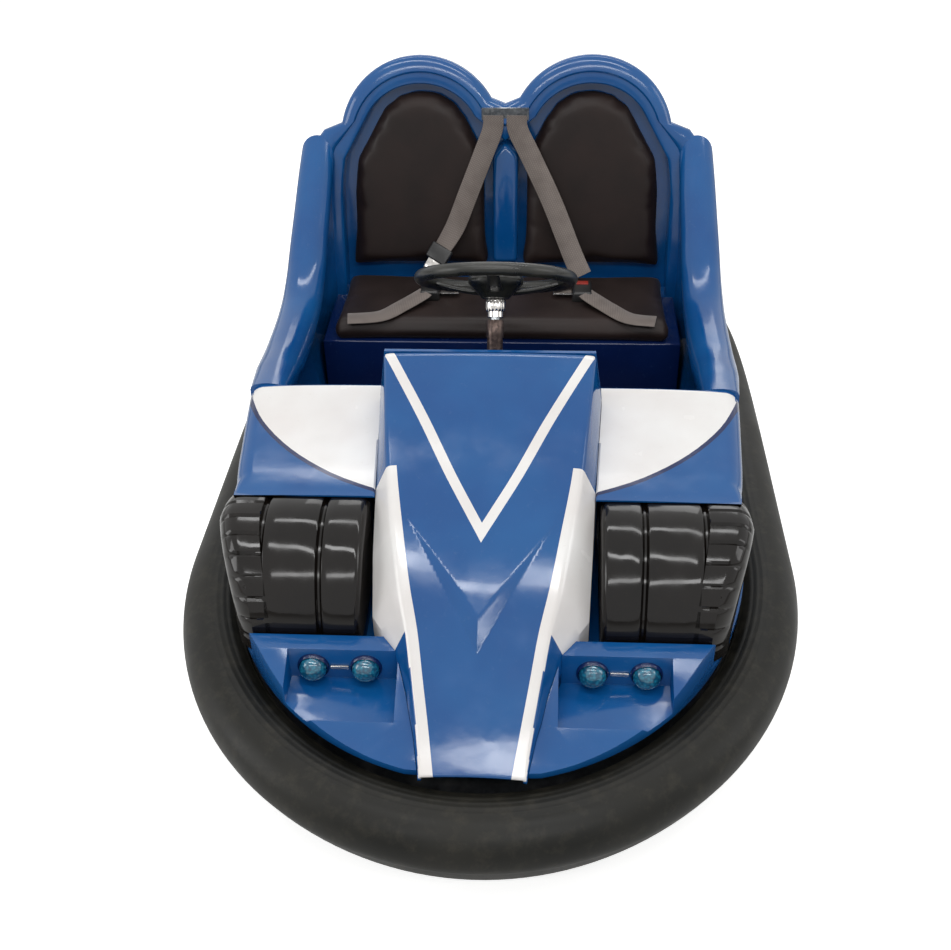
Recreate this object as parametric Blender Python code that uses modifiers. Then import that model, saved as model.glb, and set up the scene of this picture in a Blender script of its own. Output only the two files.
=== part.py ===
"""Two-seat fairground bumper car: moulded body on a steel pan, rubber bumper ring, steered drive wheel.

Metres, +Z up. The front of the car faces -Y, and +X is on the left of a driver who faces the front.
The origin lies on the floor, under the middle of the bumper ring.
"""

import math

import bmesh
import bpy
from mathutils import Matrix, Vector

# Clearances
GAP = 0.0003            # between pieces that touch
RUNNING = 0.006         # between pieces that move past each other
PIN_PLAY = 0.0006       # round a pin or shaft in its bore
TUNNEL_CLEAR = 0.0006   # between the hood and the mouldings beside it

# The plan of the car and its rubber ring
CAR_LENGTH = 1.95
CAR_WIDTH = 1.20
NOSE_LENGTH = 0.694     # rounded front end of the plan, seen from above
REAR_SQUARENESS = 6.0   # exponent of the rear end of the plan
PLAN_STEPS = 14         # points along a quarter of the plan
RING_THICKNESS = 0.115
RING_BOTTOM = 0.066
RING_HEIGHT = 0.184
RAIL_HEIGHT = 0.100     # steel hoop inside the rubber ring
RAIL_WALL = 0.006

HALF = CAR_WIDTH / 2
PLAN_Y = -CAR_LENGTH / 2 + NOSE_LENGTH          # where the rounded nose meets the straight sides
REAR_LENGTH = CAR_LENGTH - NOSE_LENGTH
BODY_INSET = RING_THICKNESS - 0.004             # the body's edge from the ring's outside
BODY_BASE = RING_BOTTOM + RING_HEIGHT + 0.008   # underside of what reaches out over the ring

# Floor and frame
FLOOR_Z = 0.170         # top of the steel pan
PAN_WALL = 0.006
FRAME_TUBE = 0.036

# Body mouldings
SKIN = 0.008
SHELF_Z = BODY_BASE + 0.018     # top of the front moulding's shelf under the faux tyres
FRONT_TUCK = 0.024      # how much narrower than the plan the body is at the faux tyres
SIDE_WALL_THICKNESS = 0.080

# Faux tyres beside the nose, and the lamp pockets before them
FAUX_RADIUS = 0.168
FAUX_Y = PLAN_Y - 0.164
FAUX_Z = 0.305
LAMP_BAND_TOP = 0.336
LAMP_WALL_Y = FAUX_Y - FAUX_RADIUS - 0.042      # back wall of the lamp pockets
LAMP_RADIUS = 0.024
LAMP_Z = SHELF_Z + 0.022
POCKET_DEPTH = 0.102    # from the lamps' wall to the front lip

# Nose hood and cowl
NOSE_TIP_Y = -CAR_LENGTH / 2 + BODY_INSET + 0.002
BULKHEAD_Y = FAUX_Y + FAUX_RADIUS + 0.015
DASH_Y = BULKHEAD_Y + 0.099
DASH_Z = 0.629
HOOD_HALF_WIDTH = 0.212
COWL_LIP_Y = DASH_Y + 0.058
COWL_LIP_Z = 0.520

# Seat and its back
BACK_LEAN = 0.25        # how far the seat back goes rearwards per unit of height
BACK_Y = CAR_LENGTH / 2 - 0.400     # front plane of the seat back, at the height below
BACK_Z = 0.450
ARCH_HEIGHT = 0.905
ARCH_RISE = 0.185       # height of an arch above its springing
NOTCH_HEIGHT = 0.800
RECESS_DEPTH = 0.055
RIM_WIDTH = 0.062
SEAT_DEPTH = 0.307
SEAT_FRONT = BACK_Y - SEAT_DEPTH
SEAT_TOP = 0.432
CUSHION_THICKNESS = 0.044
SEAT_ROUND = 0.018
SEAT_FALL = 0.012       # how much lower the bench cushion is at its back
SEAT_BACK_GAP = 0.004
BACK_CUSHION_THICKNESS = 0.046
SPINE_WIDTH = 0.060

# Running gear
DRIVE_Y = PLAN_Y - 0.199
DRIVE_RADIUS = 0.100
DRIVE_WIDTH = 0.056
DRIVE_SWING = DRIVE_RADIUS + 0.028      # radius that the drive unit sweeps as it steers
REAR_AXLE_Y = BACK_Y - 0.095
REAR_TRACK = CAR_WIDTH - 0.560
REAR_RADIUS = 0.070
REAR_WIDTH = 0.042
FRAME_HALF_WIDTH = REAR_TRACK / 2 - 0.085

# Steering
WHEEL_Y = DASH_Y + 0.272
WHEEL_Z = 0.638
WHEEL_DIAMETER = 0.334
WHEEL_TUBE = 0.014
COLUMN_TILT = math.radians(55)   # above the horizontal, towards the driver
COLUMN_RADIUS = 0.016
SHAFT_RADIUS = 0.010

# Belts
BELT_WIDTH = 0.048
BELT_THICKNESS = 0.003

COLOURS = {             # colour, roughness, metallic
    "blue_gelcoat": ((0.018, 0.095, 0.320), 0.12, 0.0),
    "white_gelcoat": ((0.80, 0.78, 0.74), 0.15, 0.0),
    "black_gelcoat": ((0.012, 0.011, 0.010), 0.12, 0.0),
    "ring_rubber": ((0.030, 0.030, 0.026), 0.75, 0.0),
    "tyre_rubber": ((0.020, 0.020, 0.020), 0.80, 0.0),
    "frame_steel": ((0.050, 0.050, 0.055), 0.45, 0.8),
    "zinc_steel": ((0.45, 0.45, 0.46), 0.35, 1.0),
    "cushion_vinyl": ((0.020, 0.019, 0.017), 0.55, 0.0),
    "belt_webbing": ((0.18, 0.17, 0.155), 0.85, 0.0),
    "wheel_urethane": ((0.030, 0.032, 0.030), 0.50, 0.0),
    "lamp_lens": ((0.010, 0.200, 0.280), 0.10, 0.0),
    "battery_case": ((0.020, 0.020, 0.022), 0.60, 0.0),
    "motor_paint": ((0.10, 0.10, 0.11), 0.50, 0.3),
    "black_plastic": ((0.020, 0.020, 0.020), 0.50, 0.0),
}


# ---- helpers -------------------------------------------------------------------------------------

def start_scene():
    for thing in list(bpy.data.objects):
        bpy.data.objects.remove(thing)
    parts = bpy.data.collections.new("bumper_car")
    cutters = bpy.data.collections.new("cutters")
    bpy.context.scene.collection.children.link(parts)
    bpy.context.scene.collection.children.link(cutters)
    return parts, cutters


PARTS, CUTTERS = start_scene()


def material(name):
    found = bpy.data.materials.get(name)
    if found:
        return found
    colour, roughness, metallic = COLOURS[name]
    made = bpy.data.materials.new(name)
    made.use_nodes = True
    shader = made.node_tree.nodes["Principled BSDF"]
    shader.inputs["Base Color"].default_value = (*colour, 1.0)
    shader.inputs["Roughness"].default_value = roughness
    shader.inputs["Metallic"].default_value = metallic
    return made


def add_object(name, mesh, finish, smooth=None):
    thing = bpy.data.objects.new(name, mesh)
    PARTS.objects.link(thing)
    mesh.materials.append(material(finish))
    if smooth is not None:
        mesh.shade_smooth()
        mesh.set_sharp_from_angle(angle=math.radians(smooth))
    return thing


def mesh_from(bm, name):
    bmesh.ops.recalc_face_normals(bm, faces=bm.faces)
    mesh = bpy.data.meshes.new(name)
    bm.to_mesh(mesh)
    bm.free()
    return mesh


def loft(name, loops):
    """A closed mesh through loops of as many points each, capped at both ends."""
    bm = bmesh.new()
    rings = [[bm.verts.new(point) for point in loop] for loop in loops]
    for before, after in zip(rings, rings[1:]):
        count = len(before)
        for i in range(count):
            j = (i + 1) % count
            bm.faces.new((before[i], before[j], after[j], after[i]))
    bm.faces.new(rings[0])
    bm.faces.new(rings[-1])
    return mesh_from(bm, name)


def prism(name, outline, low, high, axis="Z"):
    """A flat outline carried along one axis; its two coordinates are the other axes, in order."""
    def place(u, v, w):
        return {"X": (w, u, v), "Y": (u, w, v), "Z": (u, v, w)}[axis]
    return loft(name, [[place(u, v, w) for u, v in outline] for w in (low, high)])


def box(name, low, high):
    bm = bmesh.new()
    bmesh.ops.create_cube(bm, size=1.0)
    size = Vector(high) - Vector(low)
    bmesh.ops.scale(bm, vec=size, verts=bm.verts)
    bmesh.ops.translate(bm, vec=(Vector(high) + Vector(low)) / 2, verts=bm.verts)
    return mesh_from(bm, name)


def rod(name, start, end, radius, sides=20):
    """A round bar between two points."""
    start, end = Vector(start), Vector(end)
    bm = bmesh.new()
    bmesh.ops.create_cone(bm, cap_ends=True, segments=sides, radius1=radius, radius2=radius,
                          depth=(end - start).length)
    turn = (end - start).to_track_quat("Z", "Y").to_matrix().to_4x4()
    bmesh.ops.transform(bm, matrix=Matrix.Translation((start + end) / 2) @ turn, verts=bm.verts)
    return mesh_from(bm, name)


def cutter(mesh):
    thing = bpy.data.objects.new("cut_" + mesh.name, mesh)
    CUTTERS.objects.link(thing)
    thing.hide_render = True
    thing.display_type = "WIRE"
    return thing


def boolean(target, mesh, operation):
    step = target.modifiers.new(operation.lower(), "BOOLEAN")
    step.object = cutter(mesh)
    step.operation = operation


def cut(target, mesh):
    boolean(target, mesh, "DIFFERENCE")


def join(target, mesh):
    boolean(target, mesh, "UNION")


def round_edges(thing, width, segments=2, angle=30):
    bevel = thing.modifiers.new("bevel", "BEVEL")
    bevel.width = width
    bevel.segments = segments
    bevel.limit_method = "ANGLE"
    bevel.angle_limit = math.radians(angle)


def turned(name, finish, profile, centre, direction, steps=32, parent=None):
    """A profile of (radius, height) from top to bottom, turned about the direction through the centre."""
    bm = bmesh.new()
    points = [bm.verts.new((radius, 0, height)) for radius, height in profile]
    for a, b in zip(points, points[1:]):
        bm.edges.new((a, b))
    if profile[0][0] > 0:
        bm.edges.new((points[-1], points[0]))
    mesh = bpy.data.meshes.new(name)
    bm.to_mesh(mesh)
    bm.free()
    thing = add_object(name, mesh, finish)
    screw = thing.modifiers.new("screw", "SCREW")
    screw.steps = steps
    screw.render_steps = steps
    screw.use_merge_vertices = True
    screw.merge_threshold = 0.0001
    thing.rotation_euler = Vector(direction).to_track_quat("Z", "Y").to_euler()
    place(thing, centre, parent)
    return thing


def joint_empty(name, location, parent=None):
    empty = bpy.data.objects.new(name, None)
    PARTS.objects.link(empty)
    place(empty, location, parent)
    return empty


def place(thing, location, parent=None):
    """Sets a world location under a parent that is not itself turned."""
    thing.location = location
    if parent:
        thing.parent = parent
        thing.location = Vector(location) - world_of(parent)


def world_of(thing):
    total = Vector(thing.location)
    while thing.parent:
        thing = thing.parent
        total += thing.location
    return total


def ride(thing, parent):
    """Parents a piece that is modelled in world coordinates."""
    place(thing, (0, 0, 0), parent)


# ---- the plan of the car, seen from above ---------------------------------------------------------

def plan_half_width(y, inset):
    """Half the car's width at y, that far in from the outside of the bumper ring."""
    if y <= PLAN_Y:
        along = min((PLAN_Y - y) / (NOSE_LENGTH - inset), 1.0)
        return (HALF - inset) * math.sqrt(1 - along * along)
    along = min((y - PLAN_Y) / (REAR_LENGTH - inset), 1.0)
    return (HALF - inset) * (1 - along ** REAR_SQUARENESS) ** (1 / REAR_SQUARENESS)


def body_half_width(y):
    """Half width of the upper body, which tucks in a little towards the nose."""
    return plan_half_width(y, BODY_INSET) - FRONT_TUCK * min(max(-y / 0.38, 0.0), 1.0)


def cockpit_half_width():
    """From the middle of the cockpit to the inner face of its side walls."""
    return HALF - BODY_INSET - SIDE_WALL_THICKNESS


def plan_quarter(inset, length, power, steps=PLAN_STEPS):
    """Points from the side of the car to its end, on the +X side, as (x, distance along)."""
    points = []
    for i in range(steps + 1):
        angle = math.pi / 2 * i / steps
        points.append(((HALF - inset) * math.cos(angle) ** (2 / power),
                       (length - inset) * math.sin(angle) ** (2 / power)))
    points[-1] = (0.0, length - inset)
    return points


def plan_loop(inset):
    """The whole outline, anticlockwise from the front tip."""
    nose = [(x, PLAN_Y - d) for x, d in plan_quarter(inset, NOSE_LENGTH, 2.0)]
    tail = [(x, PLAN_Y + d) for x, d in plan_quarter(inset, REAR_LENGTH, REAR_SQUARENESS)]
    right = nose[::-1] + tail[1:]
    left = [(-x, y) for x, y in right[1:-1]][::-1]
    return right + left


# ---- floor, frame and bumper ------------------------------------------------------------------------

def make_floor():
    pan = add_object("floor_pan", prism("floor_pan", plan_loop(RING_THICKNESS + RAIL_WALL + 2 * GAP),
                                        FLOOR_Z - PAN_WALL, FLOOR_Z), "frame_steel")
    hole = DRIVE_SWING + RUNNING
    cut(pan, rod("drive_hole", (0, DRIVE_Y, FLOOR_Z - 0.1), (0, DRIVE_Y, FLOOR_Z + 0.1), hole, 40))

    top = FLOOR_Z - PAN_WALL - GAP
    low = top - FRAME_TUBE
    wide = FRAME_TUBE / 2
    front, back = -CAR_LENGTH / 2 + 0.315, CAR_LENGTH / 2 - 0.195
    rail = FRAME_HALF_WIDTH
    frame = add_object("chassis_frame", box("chassis_frame", (rail - wide, front, low),
                                            (rail + wide, back, top)), "frame_steel")
    join(frame, box("rail", (-rail - wide, front, low), (-rail + wide, back, top)))
    for number, y in enumerate((front, DRIVE_Y + 0.20, REAR_AXLE_Y - 0.16, back)):
        edge = y - wide if y < 0 else y + wide
        reach = min(plan_half_width(edge, RING_THICKNESS + RAIL_WALL) - RUNNING, 0.43)
        join(frame, box("member%d" % number, (-reach, y - wide, low), (reach, y + wide, top)))


def make_bumper():
    thick = RING_THICKNESS
    height = RING_HEIGHT
    section = (             # inset from the outside, height above the bottom, as shares of the section
        (1.00, 0.16), (0.94, 0.03), (0.78, 0.00), (0.60, 0.04), (0.40, 0.17), (0.20, 0.36),
        (0.05, 0.55), (0.00, 0.68), (0.06, 0.83), (0.22, 0.94), (0.44, 1.00), (0.70, 0.99),
        (0.92, 0.93), (1.00, 0.82),
    )
    outline_count = len(plan_loop(0.0))
    loops = [plan_loop(inset * thick) for inset, _ in section]
    sections = []
    for i in range(outline_count):
        sections.append([(*loops[j][i], RING_BOTTOM + rise * height)
                         for j, (_, rise) in enumerate(section)])
    bm = bmesh.new()
    rings = [[bm.verts.new(point) for point in loop] for loop in sections]
    for i in range(outline_count):
        after = rings[(i + 1) % outline_count]
        for j in range(len(section)):
            k = (j + 1) % len(section)
            bm.faces.new((rings[i][j], rings[i][k], after[k], after[j]))
    add_object("bumper_ring", mesh_from(bm, "bumper_ring"), "ring_rubber", smooth=50)

    low = RING_BOTTOM + RING_HEIGHT / 2 - RAIL_HEIGHT / 2
    rail = add_object("bumper_rail", prism("bumper_rail", plan_loop(thick + GAP), low,
                                           low + RAIL_HEIGHT), "frame_steel")
    cut(rail, prism("rail_inside", plan_loop(thick + GAP + RAIL_WALL), low - 0.1,
                    low + RAIL_HEIGHT + 0.1))


# ---- front body ---------------------------------------------------------------------------------------

HOOD_SHAPE = (
    # share of the way to the tip, of the half width at the top edge, of its height above the base,
    # then of the half width and the height of the shoulder below the edge
    (0.000, 0.934, 1.000, 1.000, 0.733), (0.196, 0.868, 0.841, 0.958, 0.631),
    (0.339, 0.807, 0.695, 0.929, 0.558), (0.482, 0.726, 0.582, 0.906, 0.437),
    (0.607, 0.646, 0.458, 0.882, 0.248), (0.704, 0.566, 0.340, 0.660, 0.208),
    (0.797, 0.509, 0.226, 0.557, 0.119), (0.897, 0.448, 0.113, 0.472, 0.059),
    (1.000, 0.392, 0.027, 0.410, 0.015),
)
HOOD = [(DASH_Y + along * (NOSE_TIP_Y - DASH_Y), top * HOOD_HALF_WIDTH,
         BODY_BASE + high * (DASH_Z - BODY_BASE), wide * HOOD_HALF_WIDTH,
         BODY_BASE + low * (DASH_Z - BODY_BASE)) for along, top, high, wide, low in HOOD_SHAPE]
HOOD_LOW_Y = FAUX_Y - FAUX_RADIUS + 0.013     # behind this the hood's walls reach the floor pan


def hood_half_width(y):
    """Half width of the hood's foot at y."""
    rows = sorted((row[0], row[3]) for row in HOOD)
    for (y0, w0), (y1, w1) in zip(rows, rows[1:]):
        if y0 <= y <= y1:
            return w0 + (w1 - w0) * (y - y0) / (y1 - y0)
    return rows[0][1] if y < rows[0][0] else rows[-1][1]


def make_hood():
    outer = []
    inner = []
    for y, half, top, wide, shoulder in HOOD:
        foot = FLOOR_Z + GAP if y > HOOD_LOW_Y else BODY_BASE
        outer.append([(-wide, y, foot), (-wide, y, shoulder), (-half, y, top),
                      (half, y, top), (wide, y, shoulder), (wide, y, foot)])
        drop = min(SKIN, (top - foot) / 2)
        inner.append([(-wide + SKIN, y, foot), (-wide + SKIN, y, max(shoulder - drop, foot + 0.001)),
                      (-half + SKIN * 0.8, y, top - drop), (half - SKIN * 0.8, y, top - drop),
                      (wide - SKIN, y, max(shoulder - drop, foot + 0.001)), (wide - SKIN, y, foot)])
    outer_mesh = loft("nose_hood", outer)
    hood = add_object("nose_hood", outer_mesh, "blue_gelcoat")
    hollow = []
    for loop in inner[:-1]:
        below = FLOOR_Z - 0.05
        (xl, y, _), *middle, (xr, _, _) = loop
        hollow.append([(xl, y, below), *middle, (xr, y, below)])
    start = [(x, y + 0.05, z) for x, y, z in hollow[0]]
    cut(hood, loft("hood_inside", [start] + hollow))


def pocket_ends():
    """Where a lamp pocket begins beside the hood and ends near the body's edge, along X."""
    return (hood_half_width(LAMP_WALL_Y) - 0.005, plan_half_width(LAMP_WALL_Y, BODY_INSET) - 0.050)


def make_pod(name, side):
    """The front moulding beside the hood: a shelf under the faux tyre, and the lamp pocket before it."""
    back = BULKHEAD_Y - GAP
    band_back = FAUX_Y - FAUX_RADIUS - 0.001
    lip = LAMP_WALL_Y - POCKET_DEPTH
    end = -CAR_LENGTH / 2 + 0.05
    profile = (
        (back, BODY_BASE), (back, SHELF_Z), (band_back, SHELF_Z), (band_back, LAMP_BAND_TOP - 0.006),
        (band_back - 0.006, LAMP_BAND_TOP), (LAMP_WALL_Y, LAMP_BAND_TOP + 0.001),
        (lip - 0.003, BODY_BASE + 0.026), (lip - 0.073, BODY_BASE + 0.013),
        (end, BODY_BASE + 0.008), (end, BODY_BASE),
    )
    pod = add_object(name, prism(name, profile, 0.05 * side, HALF * side, "X"), "blue_gelcoat")
    inset = BODY_INSET
    outer = [(x, PLAN_Y - d) for x, d in plan_quarter(inset, NOSE_LENGTH, 2.0, 3 * PLAN_STEPS)]
    outer = [(x, y) for x, y in outer if y < back and x > hood_half_width(y) + 0.004]
    outer = [(plan_half_width(0.0, inset), 0.0)] + outer
    hood_rows = [row[0] for row in HOOD if row[0] > outer[-1][1]] + [outer[-1][1] - 0.001]
    inner = [(hood_half_width(y) + TUNNEL_CLEAR, y) for y in [0.0] + hood_rows]
    outline = [(side * x, y) for x, y in outer + inner[::-1]]
    boolean(pod, prism(name + "_plan", outline, 0.1, 0.5), "INTERSECT")
    near, far = pocket_ends()
    floor = BODY_BASE + 0.012
    above = LAMP_BAND_TOP + 0.1
    pocket = ((LAMP_WALL_Y, floor), (LAMP_WALL_Y, above), (lip - 0.09, above),
              (lip - 0.009, BODY_BASE + 0.026), (lip, floor))
    cut(pod, prism(name + "_pocket", pocket, side * near, side * far, "X"))

    toe = add_object(name.replace("lamp_pod", "toe_board"),
                     box("toe_board", (side * (cockpit_half_width() - 0.005), BULKHEAD_Y - SKIN, FLOOR_Z + GAP),
                         (side * (hood_half_width(BULKHEAD_Y) + 0.002), BULKHEAD_Y, BODY_BASE - GAP)),
                     "blue_gelcoat")
    return toe


def faux_loop(x, radius, side, bend):
    """An arc above the shelf, closed by its flat foot; bend lets the end follow the car's plan."""
    foot = SHELF_Z + GAP
    full = plan_half_width(FAUX_Y, BODY_INSET)
    drop = math.asin((FAUX_Z - foot) / radius)
    points = []
    steps = 18
    for i in range(steps + 1):
        angle = -drop + (math.pi + 2 * drop) * i / steps
        y = FAUX_Y + radius * math.cos(angle)
        share = min(plan_half_width(y, BODY_INSET) / full, 1.0)
        points.append((side * x * (1 + bend * (share - 1)), y, FAUX_Z + radius * math.sin(angle)))
    return points


def make_faux_tyre(name, side):
    inner = hood_half_width(BULKHEAD_Y) + 2 * TUNNEL_CLEAR
    outer = plan_half_width(FAUX_Y, BODY_INSET) + 0.005
    stations = (        # x, radius less than full, how far it follows the plan
        (inner, 0.010, 0.0), (inner + 0.014, 0.0, 0.0), (outer - 0.036, 0.0, 0.9),
        (outer - 0.014, 0.010, 0.9), (outer, 0.034, 0.9),
    )
    loops = [faux_loop(x, FAUX_RADIUS - less, side, bend) for x, less, bend in stations]
    return add_object(name, loft(name, loops), "black_gelcoat", smooth=40)


def make_cowl(name, side):
    """The scuttle between the faux tyre and the cockpit, with the footwell's bulkhead under it."""
    clear = FAUX_RADIUS + 0.0015
    foot = SHELF_Z + GAP
    arc = []
    start = math.asin((foot - FAUX_Z) / clear)
    end = math.radians(66)
    for i in range(9):
        angle = start + (end - start) * i / 8
        arc.append((FAUX_Y + clear * math.cos(angle), FAUX_Z + clear * math.sin(angle)))
    skin = 0.012
    crown = FAUX_Z + FAUX_RADIUS + 0.001
    front = FAUX_Y + 0.061
    middle = crown + (COWL_LIP_Z - crown) * 0.48
    profile = arc + [
        (front, crown), (front + 0.054, crown + (COWL_LIP_Z - crown) * 0.22), (BULKHEAD_Y, middle),
        (COWL_LIP_Y - 0.02, COWL_LIP_Z - 0.001), (COWL_LIP_Y, COWL_LIP_Z - 0.006),
        (COWL_LIP_Y, COWL_LIP_Z - 0.016), (BULKHEAD_Y, middle - skin), (BULKHEAD_Y, foot),
    ]
    cowl = add_object(name, prism(name, profile, 0.1 * side, HALF * side, "X"), "white_gelcoat")
    seam = cockpit_half_width() - GAP
    rows = [front - 0.016 + (BULKHEAD_Y - GAP - front + 0.016) * share for share in (0, 0.3, 0.6, 0.8, 1)]
    outer = [(side * body_half_width(y), y) for y in rows]
    outer += [(side * seam, BULKHEAD_Y - GAP), (side * seam, COWL_LIP_Y + 0.1)]
    hood_rows = [row[0] for row in HOOD if row[0] > rows[0]]
    inner = [(side * (hood_half_width(y) + TUNNEL_CLEAR), y)
             for y in [COWL_LIP_Y + 0.1] + hood_rows + [rows[0]]]
    boolean(cowl, prism(name + "_plan", outer + inner, 0.1, 0.7), "INTERSECT")
    return cowl


# ---- cockpit -------------------------------------------------------------------------------------------

SIDE_RIDGE = (      # share of the way from the cowl's lip to the seat back; height from the lip to the arch
    (0.000, -0.010), (0.154, -0.044), (0.331, -0.073), (0.566, -0.052), (0.699, 0.039), (0.801, 0.182),
    (0.882, 0.312), (1.000, 0.558),
)


def make_side_wall(name, side):
    loops = []
    climb = ARCH_HEIGHT - COWL_LIP_Z
    rows = [(BULKHEAD_Y, COWL_LIP_Z - 0.022)]
    rows += [(COWL_LIP_Y + along * (BACK_Y - COWL_LIP_Y), COWL_LIP_Z + up * climb)
             for along, up in SIDE_RIDGE]
    for y, ridge in rows:
        out = body_half_width(y)
        inside = cockpit_half_width()
        lean = 0.012
        section = (
            (out, BODY_BASE), (out + lean, ridge - 0.060), (out + lean * 0.6, ridge - 0.022),
            (out - 0.014, ridge - 0.003), (out - 0.040, ridge), (inside + 0.014, ridge - 0.010),
            (inside, ridge - 0.034), (inside, FLOOR_Z + GAP), (inside + 0.045, FLOOR_Z + GAP),
            (inside + 0.045, BODY_BASE),
        )
        if y == rows[-1][0]:       # the end against the seat back's plane
            loops.append([(side * x, back_plane(z) - GAP, z) for x, z in section])
        else:
            loops.append([(side * x, y, z) for x, z in section])
    return add_object(name, loft(name, loops), "blue_gelcoat", smooth=40)


def back_plane(z):
    """The seat back's front plane."""
    return BACK_Y + (z - BACK_Z) * BACK_LEAN


def arch_centre():
    """The middle of an arch from the car's middle, and its half width."""
    side = plan_half_width(BACK_Y, BODY_INSET) - SIDE_WALL_THICKNESS
    return side * 0.507, side * 0.488


def arch_outline():
    """Half of the double arch, from the foot outside to the notch, as (x, z)."""
    foot = plan_half_width(BACK_Y, BODY_INSET)
    centre, reach = arch_centre()
    middle = ARCH_HEIGHT - ARCH_RISE
    points = [(foot, BODY_BASE), (foot + 0.010, BODY_BASE + 0.20), (foot + 0.008, middle - 0.10),
              (foot - 0.008, middle - 0.02), (foot - 0.042, middle + 0.022)]
    start = math.radians(12)
    end = math.radians(150)
    for i in range(10):
        angle = start + (end - start) * i / 9
        points.append((centre + reach * math.cos(angle), middle + ARCH_RISE * math.sin(angle)))
    points.append((0.0, NOTCH_HEIGHT))
    return points


def spine_height():
    """Top of the strip between the back cushions."""
    return NOTCH_HEIGHT - RIM_WIDTH - 0.024


def make_rear_shell():
    half = arch_outline()
    outline = half + [(-x, z) for x, z in half[:-1]][::-1]
    stations = (        # distance behind the seat back's plane, its slope, height and top width as shares
        (0.0, BACK_LEAN, 1.0, 1.0), (0.022, BACK_LEAN, 0.994, 0.998), (0.060, 0.23, 0.965, 0.985),
        (0.115, 0.14, 0.885, 0.95), (0.175, 0.02, 0.70, 0.89), (0.230, -0.09, 0.46, 0.81),
        (0.262, -0.13, 0.20, 0.77),
    )
    foot = half[0][0]
    loops = []
    for behind, slope, tall, wide in stations:
        base_y = BACK_Y + behind + (BODY_BASE - BACK_Z) * slope
        base_wide = plan_half_width(base_y, BODY_INSET) / foot
        loop = []
        for x, z in outline:
            height = BODY_BASE + (z - BODY_BASE) * tall
            up = min((z - BODY_BASE) / (NOTCH_HEIGHT - BODY_BASE), 1.0)
            share = base_wide + (wide - base_wide) * up
            loop.append((x * share, BACK_Y + behind + (height - BACK_Z) * slope, height))
        loops.append(loop)
    mesh = loft("rear_shell", loops)
    shell = add_object("rear_shell", mesh, "blue_gelcoat", smooth=35)

    recess_half = []
    inset = RIM_WIDTH
    recess_foot = SEAT_TOP - CUSHION_THICKNESS - 0.03
    outer = plan_half_width(BACK_Y, BODY_INSET) - SIDE_WALL_THICKNESS
    centre, reach = arch_centre()
    rise = ARCH_RISE - inset
    middle = ARCH_HEIGHT - ARCH_RISE
    recess_half = [(outer, recess_foot), (outer, middle - 0.12), (outer - 0.012, middle - 0.04)]
    for i in range(8):
        angle = math.radians(25) + math.radians(155 - 25) * i / 7
        recess_half.append((centre + (reach - inset + 0.010) * math.cos(angle),
                            middle + rise * math.sin(angle)))
    recess_half.append((0.0, NOTCH_HEIGHT - inset - 0.02))
    ring = recess_half + [(-x, z) for x, z in recess_half[:-1]][::-1]
    near = [(x, back_plane(z) - 0.05, z) for x, z in ring]
    far = [(x, back_plane(z) + RECESS_DEPTH, z) for x, z in ring]
    cut(shell, loft("recess", [near, far]))

    spine_top = spine_height()
    low = SEAT_TOP + 0.004
    spine = [(-SPINE_WIDTH / 2, low), (SPINE_WIDTH / 2, low), (SPINE_WIDTH / 2, spine_top - 0.03),
             (0.0, spine_top), (-SPINE_WIDTH / 2, spine_top - 0.03)]
    near = [(x, back_plane(z) + 0.004, z) for x, z in spine]
    far = [(x, back_plane(z) + RECESS_DEPTH - GAP, z) for x, z in spine]
    add_object("seat_spine", loft("seat_spine", [near, far]), "blue_gelcoat")


def make_seat():
    inside = cockpit_half_width() - 2 * GAP
    top = SEAT_TOP - CUSHION_THICKNESS - GAP
    back = back_plane(FLOOR_Z) - 0.004
    front = SEAT_FRONT + 0.010
    low = FLOOR_Z + GAP
    base = add_object("seat_base", box("seat_base", (-inside, front, low), (inside, back, top)),
                      "blue_gelcoat")
    cut(base, box("seat_hollow", (-inside + SKIN, front + SKIN, low - 0.1),
                  (inside - SKIN, back - SKIN, top - SKIN)))
    wide = FRAME_HALF_WIDTH + 0.005
    rear = add_object("battery_pack", box("battery_pack", (-wide, front + 0.03, low),
                                          (wide, back - 0.03, top - SKIN - 0.02)), "battery_case")
    round_edges(rear, 0.006, 1)

    side = inside - 0.012
    lowest = top + 2 * GAP
    bench = ((SEAT_FRONT, lowest), (SEAT_FRONT, SEAT_TOP - SEAT_ROUND), (SEAT_FRONT + SEAT_ROUND, SEAT_TOP),
             (back_plane(SEAT_TOP) - SEAT_BACK_GAP, SEAT_TOP - SEAT_FALL),
             (back_plane(lowest) - SEAT_BACK_GAP, lowest))
    add_object("seat_cushion", prism("seat_cushion", bench, -side, side, "X"), "cushion_vinyl")

    outer = plan_half_width(BACK_Y, BODY_INSET) - SIDE_WALL_THICKNESS
    low = SEAT_TOP + 0.002
    near = SPINE_WIDTH / 2 + 0.004
    for name, side in (("back_cushion_left", 1), ("back_cushion_right", -1)):
        middle = ARCH_HEIGHT - ARCH_RISE
        outline = [(near, low), (outer - 0.012, low), (outer - 0.012, middle - 0.12),
                   (outer - 0.022, middle - 0.045)]
        centre, reach = arch_centre()
        rise = ARCH_RISE - RIM_WIDTH - 0.012
        for i in range(7):
            angle = math.radians(22 + (152 - 22) * i / 6)
            outline.append((centre + (reach - RIM_WIDTH - 0.002) * math.cos(angle),
                            middle + rise * math.sin(angle)))
        outline.append((near, spine_height() - 0.03))
        front = [(side * x, back_plane(z) + RECESS_DEPTH - GAP - BACK_CUSHION_THICKNESS, z)
                 for x, z in outline]
        rear_loop = [(side * x, back_plane(z) + RECESS_DEPTH - GAP, z) for x, z in outline]
        add_object(name, loft(name, [front, rear_loop]), "cushion_vinyl")


# ---- dash, column and pedal ---------------------------------------------------------------------------

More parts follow.
